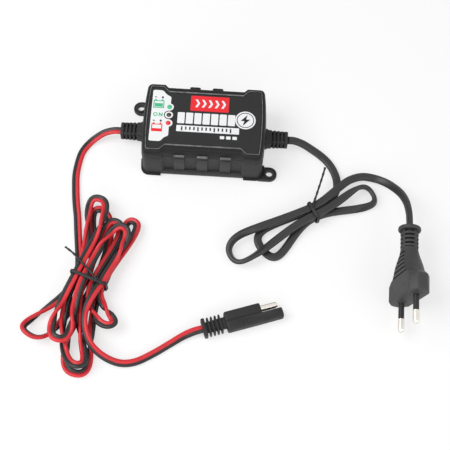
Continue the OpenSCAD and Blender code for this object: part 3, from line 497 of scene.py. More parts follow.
def add_block(bm, low, high, reach, place):
    """A box between two corners with soft edges."""
    (x0, y0, z0), (x1, y1, z1) = low, high
    place = place @ Matrix.Translation(((x0 + x1) / 2, (y0 + y1) / 2, 0))
    rings = []
    for z, inset in ((z0, reach), (z0 + reach * 0.3, reach * 0.3), (z0 + reach, 0),
                     (z1 - reach, 0), (z1 - reach * 0.3, reach * 0.3), (z1, reach)):
        outline = soft_rectangle(x1 - x0 - 2 * inset, y1 - y0 - 2 * inset, reach, 2)
        rings.append([(p.x, p.y, z) for p in outline])
    add_rings(bm, rings, place)


def add_lathe(bm, profile, place, steps=32):
    """A ring-shaped solid: a closed profile of (radius, height) points turned round z."""
    rows = [[bm.verts.new(place @ Vector((r * cos(a), r * sin(a), z))) for r, z in profile]
            for a in (360 * i / steps for i in range(steps))]
    for i, row in enumerate(rows):
        after = rows[(i + 1) % steps]
        for k in range(len(profile)):
            n = (k + 1) % len(profile)
            bm.faces.new((row[k], after[k], after[n], row[n]))


def circle(centre, r, steps=32):
    turns = [360 * i / steps for i in range(steps)]
    return [(centre[0] + r * cos(a), centre[1] + r * sin(a)) for a in turns]


def add_disc(bm, centre, r, z0, z1, steps=32):
    outline = circle(centre, r, steps)
    add_prism(bm, [(z0, outline), (z1, outline)])


def cut(mesh, tool):
    """The mesh less another closed mesh."""
    body = bpy.data.objects.new("body", mesh)
    cutter = bpy.data.objects.new("cutter", tool)
    for thing in (body, cutter):
        bpy.context.scene.collection.objects.link(thing)
    modifier = body.modifiers.new("cut", "BOOLEAN")
    modifier.solver = "EXACT"
    modifier.use_self = True
    modifier.object = cutter
    bpy.context.view_layer.update()
    result = bpy.data.meshes.new_from_object(
        body.evaluated_get(bpy.context.evaluated_depsgraph_get()))
    name = mesh.name
    for thing in (body, cutter):
        bpy.data.objects.remove(thing)
    bpy.data.meshes.remove(mesh)
    result.name = name
    smooth_mesh(result)
    return result


# -------------------- case

# Sizes of the CAD model, in mm
CASE_W, CASE_D, CASE_H = 78, 52.5, 29
SEAM, FLOOR = 21, 0.8
WALL = 2
CORNER_R, END_BOW = 4, 1
RECESS_L, RECESS, SILL = 53, 2.2, 4.5
FLAT = 0.05  # depth of the grip recess where the wall has none, so that its points stay apart
RIB_W, RIB_PITCH, RIB_OUT = 7, 14.8, 1.2
FOOT_OUT, FOOT_H, FOOT_L, FOOT_W = 1.2, 3.2, 12, 10
EAR_X, EAR_Y, EAR_R, EAR_T, EAR_HOLE_R = 44, 22.3, 5, 2.4, 2.2
BOSS_X, BOSS_Y, BOSS_R, BOSS_Z, HEAD_R = 32.4, 19.85, 3, 16, 2.8
LABEL_INSET, LABEL_STEP = 3.4, 1.7
LABEL_FLOOR, LABEL_TOP = 28.5, 28.9
LED_X, LED_Y, LED_PITCH, LED_HOLE_R = -23, 2, 6, 1.6


def case_half(inset, depth):
    """Half of the case outline round its +X end; depth is that of the grip recesses."""
    hx, hy = CASE_W / 2 - inset, CASE_D / 2 - inset
    r = max(CORNER_R - inset, 0.5)
    side = hy - r
    turn = RECESS_L / 2 + inset * tan(22.5)
    inner, outer = (turn - depth, depth - hy), (turn, -hy)
    front = bend((0, depth - hy), inner, outer, 0.4) + bend(inner, outer, (hx, -hy), 0.4)
    front += arc((hx - r, -side), r, -90, 0, 6)
    wall = [Vector((hx + END_BOW * (1 - t * t), side * t)) for t in (k / 6 for k in range(-5, 6))]
    return front + wall + [Vector((p.x, -p.y)) for p in reversed(front)]


def case_rings(levels):
    """Case outlines at levels given as (height, inset, recess depth)."""
    rings = []
    for z, inset, depth in levels:
        half = case_half(inset, depth)
        rings.append([(p.x, p.y, z) for p in half] + [(-p.x, -p.y, z) for p in half])
    return rings


def both_ends():
    return Matrix(), Matrix.Rotation(math.pi, 4, "Z")


FRONT_RIB_TOP = SEAM + 2.6
# The front's and the back's ribs: their places in pitches from the middle, how soft their edges
# are, and how high they reach on the cover
RIB_ROWS = ((-1, 0, 1), 0.35, FRONT_RIB_TOP), ((-0.5, 0.5), 0.8, CASE_H - 1.2)


def add_ribs(bm, z0, z1=None):
    """The ribs in the grip recesses, from z0 up to z1 or to their tops on the cover."""
    face = CASE_D / 2 - RECESS
    for end, (numbers, reach, top) in zip(both_ends(), RIB_ROWS):
        for x in (k * RIB_PITCH for k in numbers):
            add_block(bm, (x - RIB_W / 2, -face - RIB_OUT, z0),
                      (x + RIB_W / 2, -face + 1, z1 or top), reach, end)


def light_holes():
    """Holes for the three lights, to be cut from the cover and the label."""
    bm = bmesh.new()
    for k in (-1, 0, 1):
        add_disc(bm, (LED_X, LED_Y + k * LED_PITCH), LED_HOLE_R, CASE_H - 6, CASE_H + 2)
    return to_mesh(bm, "light_holes")


def base_shell():
    """The lower shell, from its floor up the outside to the seam and down the inside."""
    bm = bmesh.new()
    add_rings(bm, case_rings([
        (FLOOR, 1.3, FLAT), (FLOOR, 0.8, FLAT), (FLOOR + 0.15, 0.4, FLAT), (FLOOR + 0.5, 0.12, FLAT),
        (FLOOR + 1.1, 0, FLAT), (SILL - 0.5, 0.02, FLAT), (SILL - 0.1, 0.1, FLAT),
        (SILL + 0.05, 0.15, 0.3), (SILL + 0.8, 0.05, RECESS - 0.2), (SILL + 0.82, 0.05, RECESS + 0.5),
        (SILL + 1.3, 0.04, RECESS + 0.5), (SILL + 1.32, 0.04, RECESS),
        (SEAM - 0.6, 0.19, RECESS), (SEAM - 0.4, 0.24, RECESS), (SEAM - 0.27, 0.4, RECESS),
        (SEAM - 0.25, 0.6, RECESS), (SEAM - 0.85, 0.62, RECESS), (SEAM - 0.85, 1.5, RECESS),
        (SEAM - 0.02, 1.5, RECESS), (SEAM - 0.02, WALL, RECESS), (FLOOR + WALL, WALL, RECESS)]))
    add_ribs(bm, SILL + 1.6, SEAM - 0.6)
    tool = bmesh.new()
    for x in (-BOSS_X, BOSS_X):
        for y in (-BOSS_Y, BOSS_Y):
            add_lathe(bm, [(1.65, 4), (1.65, BOSS_Z), (BOSS_R, BOSS_Z), (BOSS_R, 2.5),
                           (HEAD_R, 2.5), (HEAD_R, 4)], Matrix.Translation((x, y, 0)))
            add_disc(tool, (x, y), HEAD_R, -1, FLOOR + WALL + 1)
    return cut(to_mesh(bm, "base_shell"), to_mesh(tool, "screw_recesses"))


def top_cover():
    """The cover, from its inside down to the lip in the shell and up the outside to the label."""
    bm = bmesh.new()
    label = RECESS + LABEL_STEP
    add_rings(bm, case_rings([
        (CASE_H - 2.5, 2.8, RECESS), (SEAM + 3, 2.8, RECESS), (SEAM + 3, 3.1, RECESS),
        (SEAM - 2.4, 3.1, RECESS), (SEAM - 2.4, WALL + 0.2, RECESS), (SEAM, WALL + 0.2, RECESS),
        (SEAM, 0.62, RECESS), (SEAM + 0.25, 0.6, RECESS), (SEAM + 0.27, 0.3, RECESS),
        (SEAM + 0.4, 0.12, RECESS), (SEAM + 0.65, 0.02, RECESS), (CASE_H - 2.4, 0.6, RECESS),
        (CASE_H - 1.6, 0.76, RECESS), (CASE_H - 0.9, 0.98, RECESS), (CASE_H - 0.5, 1.25, RECESS),
        (CASE_H - 0.2, 1.65, RECESS), (CASE_H - 0.04, 2.1, RECESS), (CASE_H, 2.5, RECESS + 0.1),
        (CASE_H, 2.72, label - 0.55), (CASE_H + 0.14, 2.85, label - 0.4),
        (CASE_H + 0.16, 3.05, label - 0.2), (CASE_H + 0.02, 3.25, label - 0.05),
        (LABEL_FLOOR, LABEL_INSET, label)]))
    add_ribs(bm, SEAM + 0.25)
    mesh = cut(to_mesh(bm, "top_cover"), light_holes())
    # the raised edge round the label and the tops of the front ribs get the lighter rim finish, a
    # painted highlight for the light they catch
    for face in mesh.polygons:
        above = face.center.z / MM
        on_rib = abs(above - FRONT_RIB_TOP) < 0.3 and face.normal.z > 0.3 and face.center.y < 0
        if above > CASE_H + 0.06 or on_rib:
            face.material_index = 1
    return mesh


def foot_outline(out, pull):
    """The front right foot's outline: out from the wall, with its ends pulled in."""
    centre = Vector((CASE_W / 2 - CORNER_R, CORNER_R - CASE_D / 2))
    bow, inside = 0.45, 0.6
    start, end = CASE_W / 2 - FOOT_L + pull, FOOT_W - CASE_D / 2 - pull
    outer = [Vector((start, -CASE_D / 2 - out))] + arc(centre, CORNER_R + out, -90, 0, 6)
    outer += [Vector((CASE_W / 2 + out + bow, end))]
    inner = [Vector((CASE_W / 2 - inside, end))] + arc(centre, CORNER_R - inside, 0, -90, 3)
    return outer + inner + [Vector((start, inside - CASE_D / 2))]


def corner_feet():
    bm = bmesh.new()
    # height, how far out from the wall, how far the ends are pulled in
    levels = [(0, -0.1, 0.9), (0.15, 0.5, 0.5), (0.6, 1.0, 0.2), (1.2, FOOT_OUT, 0),
              (FOOT_H - 0.9, FOOT_OUT, 0), (FOOT_H - 0.3, FOOT_OUT - 0.35, 0.3),
              (FOOT_H, FOOT_OUT - 1.0, 0.7)]
    flip = Matrix.Scale(-1, 4, (0, 1, 0))
    for end in both_ends():
        for side in (Matrix(), flip):
            add_prism(bm, [(z, foot_outline(out, pull)) for z, out, pull in levels], end @ side)
    return to_mesh(bm, "corner_feet")


def ear_outline(inset):
    r = EAR_R - inset
    return ([Vector((EAR_X - 7, -EAR_Y - r))] + arc((EAR_X, -EAR_Y), r, -90, 90, 16)
            + [Vector((EAR_X - 7, -EAR_Y + r))])


def fixing_ears():
    bm, tool = bmesh.new(), bmesh.new()
    # height and inset
    levels = [(0, 0.4), (0.12, 0.12), (0.4, 0), (EAR_T - 0.35, 0), (EAR_T - 0.08, 0.12),
              (EAR_T, 0.45), (EAR_T, 0.9), (EAR_T - 0.3, 1.1)]
    for end in both_ends():
        add_prism(bm, [(z, ear_outline(inset)) for z, inset in levels], end)
        middle = end @ Vector((EAR_X, -EAR_Y, 0))
        inner = EAR_HOLE_R - 0.1
        add_lathe(bm, [(inner, 0.3), (inner, EAR_T + 0.45), (2.5, EAR_T + 0.6), (3.1, EAR_T + 0.6),
                       (3.35, EAR_T + 0.4), (3.45, EAR_T - 1), (3.45, 0.3)],
                  end @ Matrix.Translation((EAR_X, -EAR_Y, 0)))
        add_disc(tool, middle, EAR_HOLE_R, -1, EAR_T + 2, 40)
    return cut(to_mesh(bm, "fixing_ears"), to_mesh(tool, "fixing_holes"))


add_piece("base_shell_skin", base_shell(), "case", "base_shell")
add_piece("top_cover_skin", top_cover(), "case", "top_cover", (finishes["cover"], finishes["rim"]))
add_piece("fixing_ear_pair", fixing_ears(), "case")
add_piece("corner_feet", corner_feet(), "case", mats=(finishes["foot"],))


# -------------------- label

def label_sheet():
    inset, depth = LABEL_INSET + 0.15, RECESS + LABEL_STEP
    bm = bmesh.new()
    add_rings(bm, case_rings([(LABEL_FLOOR, inset, depth), (LABEL_TOP - 0.1, inset, depth),
                              (LABEL_TOP, inset + 0.1, depth)]))
    return cut(to_mesh(bm, "label"), light_holes())


INK, INK_SUNK = 0.05, 0.03


class Print:
    """Flat shapes of one colour printed on the label, each layer one ink thickness higher."""

    def __init__(self):
        self.bm = bmesh.new()

    def heights(self, layer):
        start = LABEL_TOP - INK_SUNK + layer * INK
        return start, start + INK + INK_SUNK

    def area(self, outline, layer=0):
        add_prism(self.bm, [(z, outline) for z in self.heights(layer)])

    def bar(self, x0, y0, x1, y1, layer=0, reach=0.1):
        self.area(soft_outline([(x0, y0), (x1, y0), (x1, y1), (x0, y1)], reach, 2), layer)

    def disc(self, x, y, r, layer=0):
        self.area(circle((x, y), r), layer)

    def band(self, x, y, outer, inner, layer=0):
        z0, z1 = self.heights(layer)
        add_lathe(self.bm, [(inner, z0), (outer, z0), (outer, z1), (inner, z1)],
                  Matrix.Translation((x, y, 0)))

    def piece(self, name, slot, finish):
        add_piece(name, to_mesh(self.bm, name, 20), slot, mats=(finishes[finish],))


ICON_X0, ICON_X1 = -33.6, -26.6


def battery_icon(ink, y0, y1):
    """Outline of a battery with its two posts."""
    line, post = 0.6, 1.2
    for y in (y0, y1 - line):
        ink.bar(ICON_X0, y, ICON_X1, y + line, 1, 0.05)
    for x in (ICON_X0, ICON_X1 - line):
        ink.bar(x, y0 + line, x + line, y1 - line, 1, 0.01)
    for x in (ICON_X0 + 0.7, ICON_X1 - 0.7 - post):
        ink.bar(x, y1, x + post, y1 + 0.8, 1, 0.05)


def pole_marks(ink, y):
    """A minus and a plus sign over a battery's posts."""
    half = 0.3
    ink.bar(ICON_X0 + 0.6, y - half, ICON_X0 + 2, y + half, 1)
    ink.bar(ICON_X1 - 2, y - half, ICON_X1 - 0.6, y + half, 1)
    for low in (y - half - 0.55, y + half):
        ink.bar(ICON_X1 - 1.65, low, ICON_X1 - 0.95, low + 0.55, 1, 0.01)


white, red, green, dark = Print(), Print(), Print(), Print()
PANEL_X, BULGE_R = -22.4, 2.7

panel = [(-34.6, -17.6), (-27.2, -17.6), (-25.2, -14.8), (PANEL_X, -13.2), (PANEL_X, -8.5),
         (PANEL_X, 12.5), (PANEL_X, 15.6), (-25.4, 17.2), (-28, 20.4), (-34.4, 20.4)]
corner_steps = 4
panel = soft_outline(panel, [1.2, 1.2, 1.2, 0.8, 0.3, 0.3, 0.8, 1.5, 1.5, 1.2], corner_steps)
# the edge bulges round the two outer lights, after the panel's fifth corner
bulge_start = 5 * (corner_steps + 1)
swing = math.degrees(math.acos((PANEL_X - LED_X) / BULGE_R))
outer_lights = [(LED_X, LED_Y - LED_PITCH), (LED_X, LED_Y + LED_PITCH)]
bulges = [p for light in outer_lights for p in arc(light, BULGE_R, -swing, swing, 12)]
white.area(panel[:bulge_start] + bulges + panel[bulge_start:])
for ink, light in zip((red, green), outer_lights):
    ink.disc(*light, LED_HOLE_R, 1)
dark.disc(LED_X, LED_Y, 3.2, 1)
white.band(LED_X, LED_Y, 2.6, LED_HOLE_R, 2)

# a full battery by the green light and an almost empty one by the red light
battery_icon(green, 6.8, 12.6)
green.bar(ICON_X0 + 0.9, 7.8, ICON_X1 - 0.9, 10.4, 1)
pole_marks(dark, 15)
battery_icon(red, -10.6, -5)
red.bar(ICON_X0 + 0.6, -10, ICON_X1 - 0.6, -8.4, 1, 0.01)
pole_marks(dark, -2.6)

# the word ON by the middle light
green.band(-31.7, 2, 1.45, 0.85, 1)
n_left, n_right, n_top, n_foot, n_line, n_slant = -29.6, -27.1, 3.35, 0.65, 0.6, 1.2
inner_left, inner_right = n_left + n_line, n_right - n_line
green.area([(n_left, n_foot), (inner_left, n_foot), (inner_left, n_top - n_slant),
            (inner_right, n_foot), (n_right, n_foot), (n_right, n_top), (inner_right, n_top),
            (inner_right, n_foot + n_slant), (inner_left, n_top), (n_left, n_top)], 1)

# the middle of the label: chevrons on a red field, blocks, a strip of ticks, a bolt sign, bars
red.bar(-9.6, 6.2, 15.2, 17.6, 0, 0.4)
for x in (-6.6 + 4.2 * k for k in range(5)):
    white.area([(x, 9), (x + 1.5, 9), (x + 3.1, 11.9), (x + 1.5, 14.8), (x, 14.8),
                (x + 1.6, 11.9)], 1)
for x in (-17.4 + 5.4 * k for k in range(7)):
    white.bar(x, -3.6, x + 4.6, 4.6, 0, 0.5)
white.bar(-17.6, -9.6, 22.5, -5, 0, 0.4)
for k in range(13):
    x = -14.6 + 2.6 * k
    low = -8.2 if k % 4 else -8.9
    dark.bar(x, low, x + 0.9, -5.9, 1)
white.disc(26.2, 1.2, 6.6, 1)
dark.band(26.2, 1.2, 5.6, 5.1, 2)
dark.area([(27.4, 5.2), (23.2, 0.6), (25.6, 0.6), (24.6, -3), (29.2, 1.9), (26.6, 1.9)], 2)
for x in (10.5, 14.5, 18.5):
    white.bar(x, -13.6, x + 2.8, -11.4, 0, 0.3)

add_piece("label_sheet", label_sheet(), "label", "overlay_label")
white.piece("label_white_print", "white_plastic", "ink_white")
red.piece("label_red_print", "led_red", "ink_red")
green.piece("label_green_print", "led_green", "ink_green")
dark.piece("label_dark_print", "label", "ink_dark")


# -------------------- strain reliefs

def strain_relief(name, end):
    """Moulded boot: a collar at the case, a block, and slotted grooves up to a thicker tip."""
    wall_x, tip = 40, RELIEF_TIP
    wide, high = 10.4, 9.4
    core = (6.8, 6.2)
    profile = [(34.8, 6.4, 5.8), (wall_x - 1, 6.6, 6), (wall_x - 1, 11, 10),
               (wall_x + 1, 11.4, 10.4), (wall_x + 1.3, 11.2, 10.2), (wall_x + 1.9, wide, high),
               (wall_x + 4.1, wide - 0.2, high - 0.2), (wall_x + 4.3, wide - 0.5, high - 0.5),
               (wall_x + 4.3, *core)]
    for k in range(3):
        x0, x1 = wall_x + 5.4 + 2.5 * k, wall_x + 6.8 + 2.5 * k
        w, h = wide - 0.4 - 0.25 * k, high - 0.4 - 0.25 * k
        profile += [(x0, *core), (x0, w - 0.3, h - 0.3), (x0 + 0.15, w, h), (x1 - 0.15, w, h),
                    (x1, w - 0.3, h - 0.3), (x1, *core)]
    x0 = wall_x + 12.9
    w, h = wide - 0.9, high - 0.9
    profile += [(x0, *core), (x0, w - 0.3, h - 0.3), (x0 + 0.15, w, h),
                (tip - 0.4, w - 0.1, h - 0.1), (tip - 0.1, w - 0.4, h - 0.4), (tip, w - 1.2, h - 1.2)]
    bm = bmesh.new()
    rings = [[(x, p.x, RELIEF_Z + p.y) for p in soft_rectangle(w, h, 1.9, 4)] for x, w, h in profile]
    add_rings(bm, rings, end)
    # four bars along the corners close the grooves there
    bar = 0.75
    for y in (-3.5, 3.5):
        for z in (RELIEF_Z - 3.1, RELIEF_Z + 3.1):
            add_block(bm, (wall_x + 4, y - bar, z - bar), (wall_x + 13.2, y + bar, z + bar), 0.3, end)
    return to_mesh(bm, name)


for name, end in zip(("mains_strain_relief", "dc_strain_relief"), both_ends()):
    add_piece(name + "_boot", strain_relief(name, end), "soft_black", name)


# -------------------- mains plug

PLUG_W, PLUG_H = 35.3, 13.7
plug_place = (Matrix.Translation(PLUG_BACK) @ Matrix.Rotation(math.radians(PLUG_TURN), 4, "Z")
              @ Matrix.Rotation(math.radians(90), 4, "X")
              @ Matrix.Rotation(math.radians(PLUG_ROLL), 4, "Z"))


def plug_outline(steps=14):
    """The front's eight-sided outline from the +X edge round, with points along its two wide
    faces."""
    w, flat, half, edge = PLUG_W / 2, 13, PLUG_H / 2, 3
    corners = [(w, -edge), (w, edge), (flat, half), (-flat, half), (-w, edge), (-w, -edge),
               (-flat, -half), (flat, -half)]
    soft = soft_outline(corners, [1.6, 1.6, 0.7, 0.7, 1.6, 1.6, 0.7, 0.7], 3)
    across = [2 * flat * (i / steps - 0.5) * 0.94 for i in range(1, steps)]
    upper = [Vector((-x, half)) for x in across]
    lower = [Vector((x, -half)) for x in across]
    # four points to a corner: three corners come before the upper face, four more before the lower
    return soft[:12] + upper + soft[12:28] + lower + soft[28:]


PLUG_OUTLINE = plug_outline()


def plug_ring(z, width, thick, inset=0, lean=0, groove=0):
    """Ring of the grip: width and thick go from 0, the round neck, to 1, the front. Lean tilts it,
    and groove sinks its two wide faces."""
    neck_r = 5.4
    ring = []
    for p in PLUG_OUTLINE:
        a = math.degrees(math.atan2(p.y / PLUG_H, p.x / PLUG_W))
        x = neck_r * cos(a) * (1 - width) + (p.x - math.copysign(inset, p.x)) * width
        y = neck_r * sin(a) * (1 - thick) + (p.y - math.copysign(inset, p.y)) * thick
        if abs(p.y) > PLUG_H / 2 - 0.1:
            y -= math.copysign(groove, y)
        ring.append((x, y, z + lean * x))
    return ring


def plug_body():
    bm = bmesh.new()
    flange = [(0, 4.6), (0, 6.3), (0.3, 6.9), (0.9, 7.1), (1.8, 7.1), (2.3, 6.8), (2.6, 6.2),
              (2.2, 4.7)]
    neck = [(2.9, 3.6), (16, 3.6)]
    add_rings(bm, [[(r * cos(a), r * sin(a), z) for a in range(0, 360, 10)]
                   for z, r in flange + neck], plug_place)
    ring_r, core_r = 5.6, 3.3
    for z in (4.3 + 2.8 * k for k in range(4)):
        add_lathe(bm, [(core_r, z), (ring_r - 0.15, z), (ring_r, z + 0.2), (ring_r, z + 1.2),
                       (ring_r - 0.15, z + 1.4), (core_r, z + 1.4)], plug_place, 36)
    for turn in (70, 160, 250, 340):
        bar = plug_place @ Matrix.Rotation(math.radians(turn), 4, "Z")
        add_block(bm, (3.2, -0.9, 2.4), (5.4, 0.9, 16.2), 0.3, bar)

    start, block, front = 14.6, 35.8, 47
    lean = -0.04

    def grip(z, groove=0):
        """The grip's ring at z; between start and block it widens and its rings lean."""
        t = min(max((z - start) / (block - start), 0), 1)
        window = ease((z - start) / 3) * ease((block + 3 - z) / 3)
        wide = 0.68 * t ** 1.7 + 0.32 * ease((t - 0.86) / 0.14)
        return plug_ring(z, wide, ease(min(1, t * 1.5)) ** 0.8, 0, lean * window, groove)

    rings = [plug_ring(start, 0, 0), grip(start + 0.9)]
    depth = 0.8
    for z in (18 + 2.9 * k for k in range(6)):
        for dz, groove in ((0, 0), (0.12, depth), (0.95, depth), (1.07, 0), (1.9, 0)):
            rings.append(grip(z + dz, groove))
    rings += [grip(block + 0.9), plug_ring(block + 3, 1, 1), plug_ring(front - 0.7, 1, 1),
              plug_ring(front - 0.2, 1, 1, 0.2), plug_ring(front, 1, 1, 0.7)]
    add_rings(bm, rings, plug_place)
    pin_r, lip = 2.02, front + 0.45
    for x in (-9.3, 9.3):
        add_lathe(bm, [(pin_r, front - 1), (3.1, front - 1), (3.1, lip - 0.2), (2.9, lip), (pin_r, lip)],
                  plug_place @ Matrix.Translation((x, 0, 0)))
    return to_mesh(bm, "plug_body")


plug_piece = add_piece("plug_moulding", plug_body(), "plug", "plug_body")


# -------------------- battery connector

CONN_W, CONN_T = 12.4, 7.6
conn_place = Matrix.Translation(CONN_BACK) @ Matrix.Rotation(math.radians(CONN_TURN), 4, "Z")


def along_x(bm, sections):
    """A solid along the connector through (x, outline) sections."""
    add_rings(bm, [[(x, p[0], p[1]) for p in outline] for x, outline in sections], conn_place)


def twin_outline(inset):
    """Two lobes side by side, with a shallow valley between them on the top and underneath."""
    w, h, valley = CONN_W / 2 - inset, CONN_T / 2 - inset, 0.55
    corners = [(-w, -h), (-0.7, -h), (-0.25, valley - h), (0.25, valley - h), (0.7, -h), (w, -h),
               (w, h), (0.7, h), (0.25, h - valley), (-0.25, h - valley), (-0.7, h), (-w, h)]
    return soft_outline(corners, [1.8, 0.2, 0.1, 0.1, 0.2, 1.8] * 2, 3)


def nose_outline(inset):
    """The socket side's half, a little lower than the body."""
    y0, y1, h = -CONN_W / 2 + inset, -0.1 - inset, CONN_T / 2 - 0.15 - inset
    return soft_outline([(y0, -h), (y1, -h), (y1, h), (y0, h)], [1.8, 1.2, 1.2, 1.8], 4)


def connector_body():
    bm = bmesh.new()
    back = ((0, 9.6, 5.8), (0.15, 11, 7), (0.5, 11.6, 7.5), (1.8, 11.6, 7.5), (2.2, 11, 7),
            (2.2, 6.6, 4.4), (15, 7.2, 4.8))
    along_x(bm, [(x, soft_rectangle(w, h, 1.7, 4)) for x, w, h in back])
    side, full = soft_rectangle(10.6, 6.5, 1.6, 4), soft_rectangle(11.2, 7.1, 1.7, 4)
    for k in range(1, 5):
        x0, x1 = 2.2 + 2.42 * (k - 0.45), 2.2 + 2.42 * k
        along_x(bm, [(x0, side), (x0 + 0.2, full), (x1 - 0.2, full), (x1, side)])
    along_x(bm, [(x, twin_outline(inset)) for x, inset in (
        (14.5, 1.1), (14.7, 0.45), (15.2, 0.1), (15.9, 0), (36.8, 0), (37.2, 0.12), (37.5, 0.5))])
    along_x(bm, [(x, nose_outline(inset)) for x, inset in (
        (36, 0), (49.3, 0.05), (49.75, 0.2), (50, 0.6))])
    for x in (23 + 2.4 * k for k in range(3)):
        add_block(bm, (x, -5, CONN_T / 2 - 0.3), (x + 1.3, -2, CONN_T / 2 + 0.4), 0.15, conn_place)
    bore = bmesh.new()
    lie = conn_place @ Matrix.Translation((31.5, -3, 0)) @ Matrix.Rotation(math.radians(90), 4, "Y")
    hole = circle((0, 0), 2.6, 30)
    add_prism(bore, [(0, hole), (20, hole)], lie)
    return cut(to_mesh(bm, "connector_body"), to_mesh(bore, "socket_bore"))


conn_piece = add_piece("connector_moulding", connector_body(), "soft_black", "connector_body")


# -------------------- twist ties

def tube(bm, points, radius, twist=0, flat=1, sides=10):
    """A bar of round or flat section along points; twist turns it, in degrees for each mm."""
    points = [Vector(p) for p in points]
    rings, run = [], 0
    normal = Vector((0, 0, 1))
    for i, p in enumerate(points):
        ahead = (points[min(i + 1, len(points) - 1)] - points[max(i - 1, 0)]).normalized()
        side = ahead.cross(normal)
        side = side.normalized() if side.length > 1e-6 else Vector((1, 0, 0))
        over = side.cross(ahead)
        if over.dot(normal) < 0:
            over = -over
        normal = over
        run += (p - points[i - 1]).length if i else 0
        turn = run * twist
        wide = (side * cos(turn) + over * sin(turn)) * radius
        thin = (over * cos(turn) - side * sin(turn)) * radius * flat
        rings.append([p + wide * cos(a) + thin * sin(a)
                      for a in (360 * k / sides for k in range(sides))])
    add_rings(bm, rings)


def tie_mesh(name, hank, columns, layers, strand_w, strand_t, tail):
    """Coated wire wound twice round a hank's waist, twisted together, with its ends left long."""
    strand_gap, half_wire = 0.3, 0.55
    out = strand_gap + half_wire
    half = ((columns - 1) * abs(hank.column) + strand_w) / 2 + out
    waist = hank.lowest + hank.lift
    z0, z1 = waist - strand_t / 2 - out, waist + (layers - 1) * hank.layer + strand_t / 2 + out
    loop = soft_outline([(-half, z0), (half, z0), (half, z1), (-half, z1)], 2.2, 5)
    wraps, wrap_pitch, count = 2, 0.85, len(loop)
    start = count // 2 + 3
    path = []
    for i in range(wraps * count + 1):
        w, z = loop[(start + i) % count]
        step = (i / count - wraps / 2) * wrap_pitch
        xy = hank.middle + hank.across * w + hank.along * step
        path.append((xy.x, xy.y, z))
    bm = bmesh.new()
    tube(bm, path, 0.72, flat=0.75)
    top = z1 - half_wire
    knot = []
    for a in range(0, 540, 30):
        xy = Vector(tail[0][:2]) + (hank.across * cos(a) - hank.along * sin(a)) * 0.9
        knot.append((xy.x, xy.y, top + 0.9 + 0.3 * sin(a)))
    tube(bm, knot, 0.65)
    ends = [(x, y, top + dz) for x, y, dz in tail]
    tube(bm, curve_through(ends, 8), 0.8, twist=40, flat=0.75, sides=8)
    return to_mesh(bm, name, 60)


mains_tie = add_piece("mains_twist_tie", tie_mesh(
    "mains_twist_tie", mains_hank, 2, 2, MAINS_W, MAINS_T,
    [(72, -47, 1), (73.5, -43, 1.6), (75.5, -36, 2.2), (78, -27, 3), (79.5, -21, 4)]),
    "tie", "mains_tie")
dc_tie = add_piece("battery_twist_tie", tie_mesh(
    "battery_twist_tie", dc_hank, 4, 3, 2 * WIRE_D, WIRE_D,
    [(-59, -107.5, 1), (-63, -103, 1.4), (-69, -97, 1.2), (-75, -91, 0.2), (-81, -86, -1.6)]),
    "tie", "dc_tie")


# -------------------- light and floor

def area_light(name, place, size, watts):
    """A soft lamp that shines towards the charger; its place and size are in metres."""
    data = bpy.data.lights.new(name, "AREA")
    data.shape = "RECTANGLE"
    data.size, data.size_y = size
    data.energy = watts
    lamp = bpy.data.objects.new(name, data)
    lamp.location = place
    aim = Vector((0.02, -0.05, 0)) - Vector(place)
    lamp.rotation_euler = aim.to_track_quat("-Z", "Y").to_euler()
    bpy.context.scene.collection.objects.link(lamp)


def seen_by(tree, *kinds):
    """An output that is 1 for rays of these kinds and 0 for the rest."""
    rays = tree.nodes.new("ShaderNodeLightPath")
    out = rays.outputs[kinds[0]]
    for kind in kinds[1:]:
        either = tree.nodes.new("ShaderNodeMath")
        either.operation = "MAXIMUM"
        tree.links.new(out, either.inputs[0])
        tree.links.new(rays.outputs[kind], either.inputs[1])
        out = either.outputs[0]
    return out


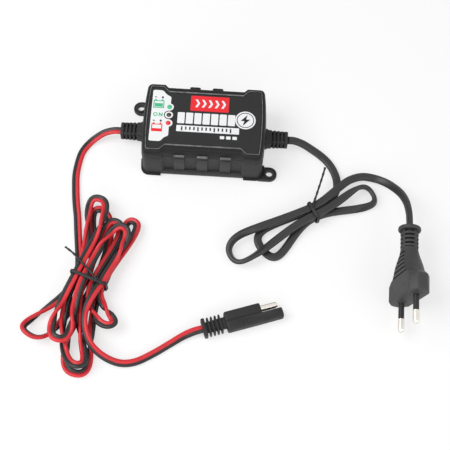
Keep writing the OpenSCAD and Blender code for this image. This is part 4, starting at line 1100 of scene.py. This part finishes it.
def white_world(ambient):
    """A world that is plain white to look at and lights the matt surfaces less than that."""
    world = bpy.data.worlds.new("world")
    bpy.context.scene.world = world
    world.use_nodes = True
    tree = world.node_tree
    background = tree.nodes["Background"]
    background.inputs["Color"].default_value = (1, 1, 1, 1)
    strength = tree.nodes.new("ShaderNodeMapRange")
    strength.inputs["To Min"].default_value = ambient
    seen = seen_by(tree, "Is Camera Ray", "Is Glossy Ray", "Is Transmission Ray")
    tree.links.new(seen, strength.inputs["Value"])
    tree.links.new(strength.outputs["Result"], background.inputs["Strength"])


def pale_floor(whiteness):
    """A matt floor that the camera, and reflections, see part of the way to plain white."""
    mat = material("floor", (0.93, 0.93, 0.93), 0.9)
    nodes, links = mat.node_tree.nodes, mat.node_tree.links
    part = nodes.new("ShaderNodeMath")
    part.operation = "MULTIPLY"
    part.inputs[1].default_value = whiteness
    mix = nodes.new("ShaderNodeMixShader")
    glow = nodes.new("ShaderNodeEmission")
    links.new(seen_by(mat.node_tree, "Is Camera Ray", "Is Glossy Ray"), part.inputs[0])
    links.new(part.outputs[0], mix.inputs["Fac"])
    links.new(nodes["Principled BSDF"].outputs["BSDF"], mix.inputs[1])
    links.new(glow.outputs["Emission"], mix.inputs[2])
    links.new(mix.outputs["Shader"], nodes["Material Output"].inputs["Surface"])
    return mat


area_light("key", (-0.6, -0.12, 0.8), (0.7, 0.7), 7)
area_light("fill", (0.75, -0.45, 0.6), (0.8, 0.6), 2.4)
area_light("front", (-0.2, -0.95, 0.45), (0.9, 0.5), 3)
white_world(0.42)

far = 3
floor_mesh = bpy.data.meshes.new("floor")
floor_mesh.from_pydata([(-far, -far, 0), (far, -far, 0), (far, far, 0), (-far, far, 0)],
                       [], [(0, 1, 2, 3)])
floor = bpy.data.objects.new("floor", floor_mesh)
floor_mesh.materials.append(pale_floor(0.6))
bpy.context.scene.collection.objects.link(floor)

bpy.context.scene.view_settings.view_transform = "Standard"


# -------------------- each cord's start, length and points, worked out and not kept

[c * MM for c in mains_route[0][:3]]
length_of(mains_route) * MM
[[c * MM for c in p[:3]] for p in mains_route]
[c * MM for c in dc_route[0][:3]]
length_of(dc_route) * MM
[[c * MM for c in p[:3]] for p in dc_route]
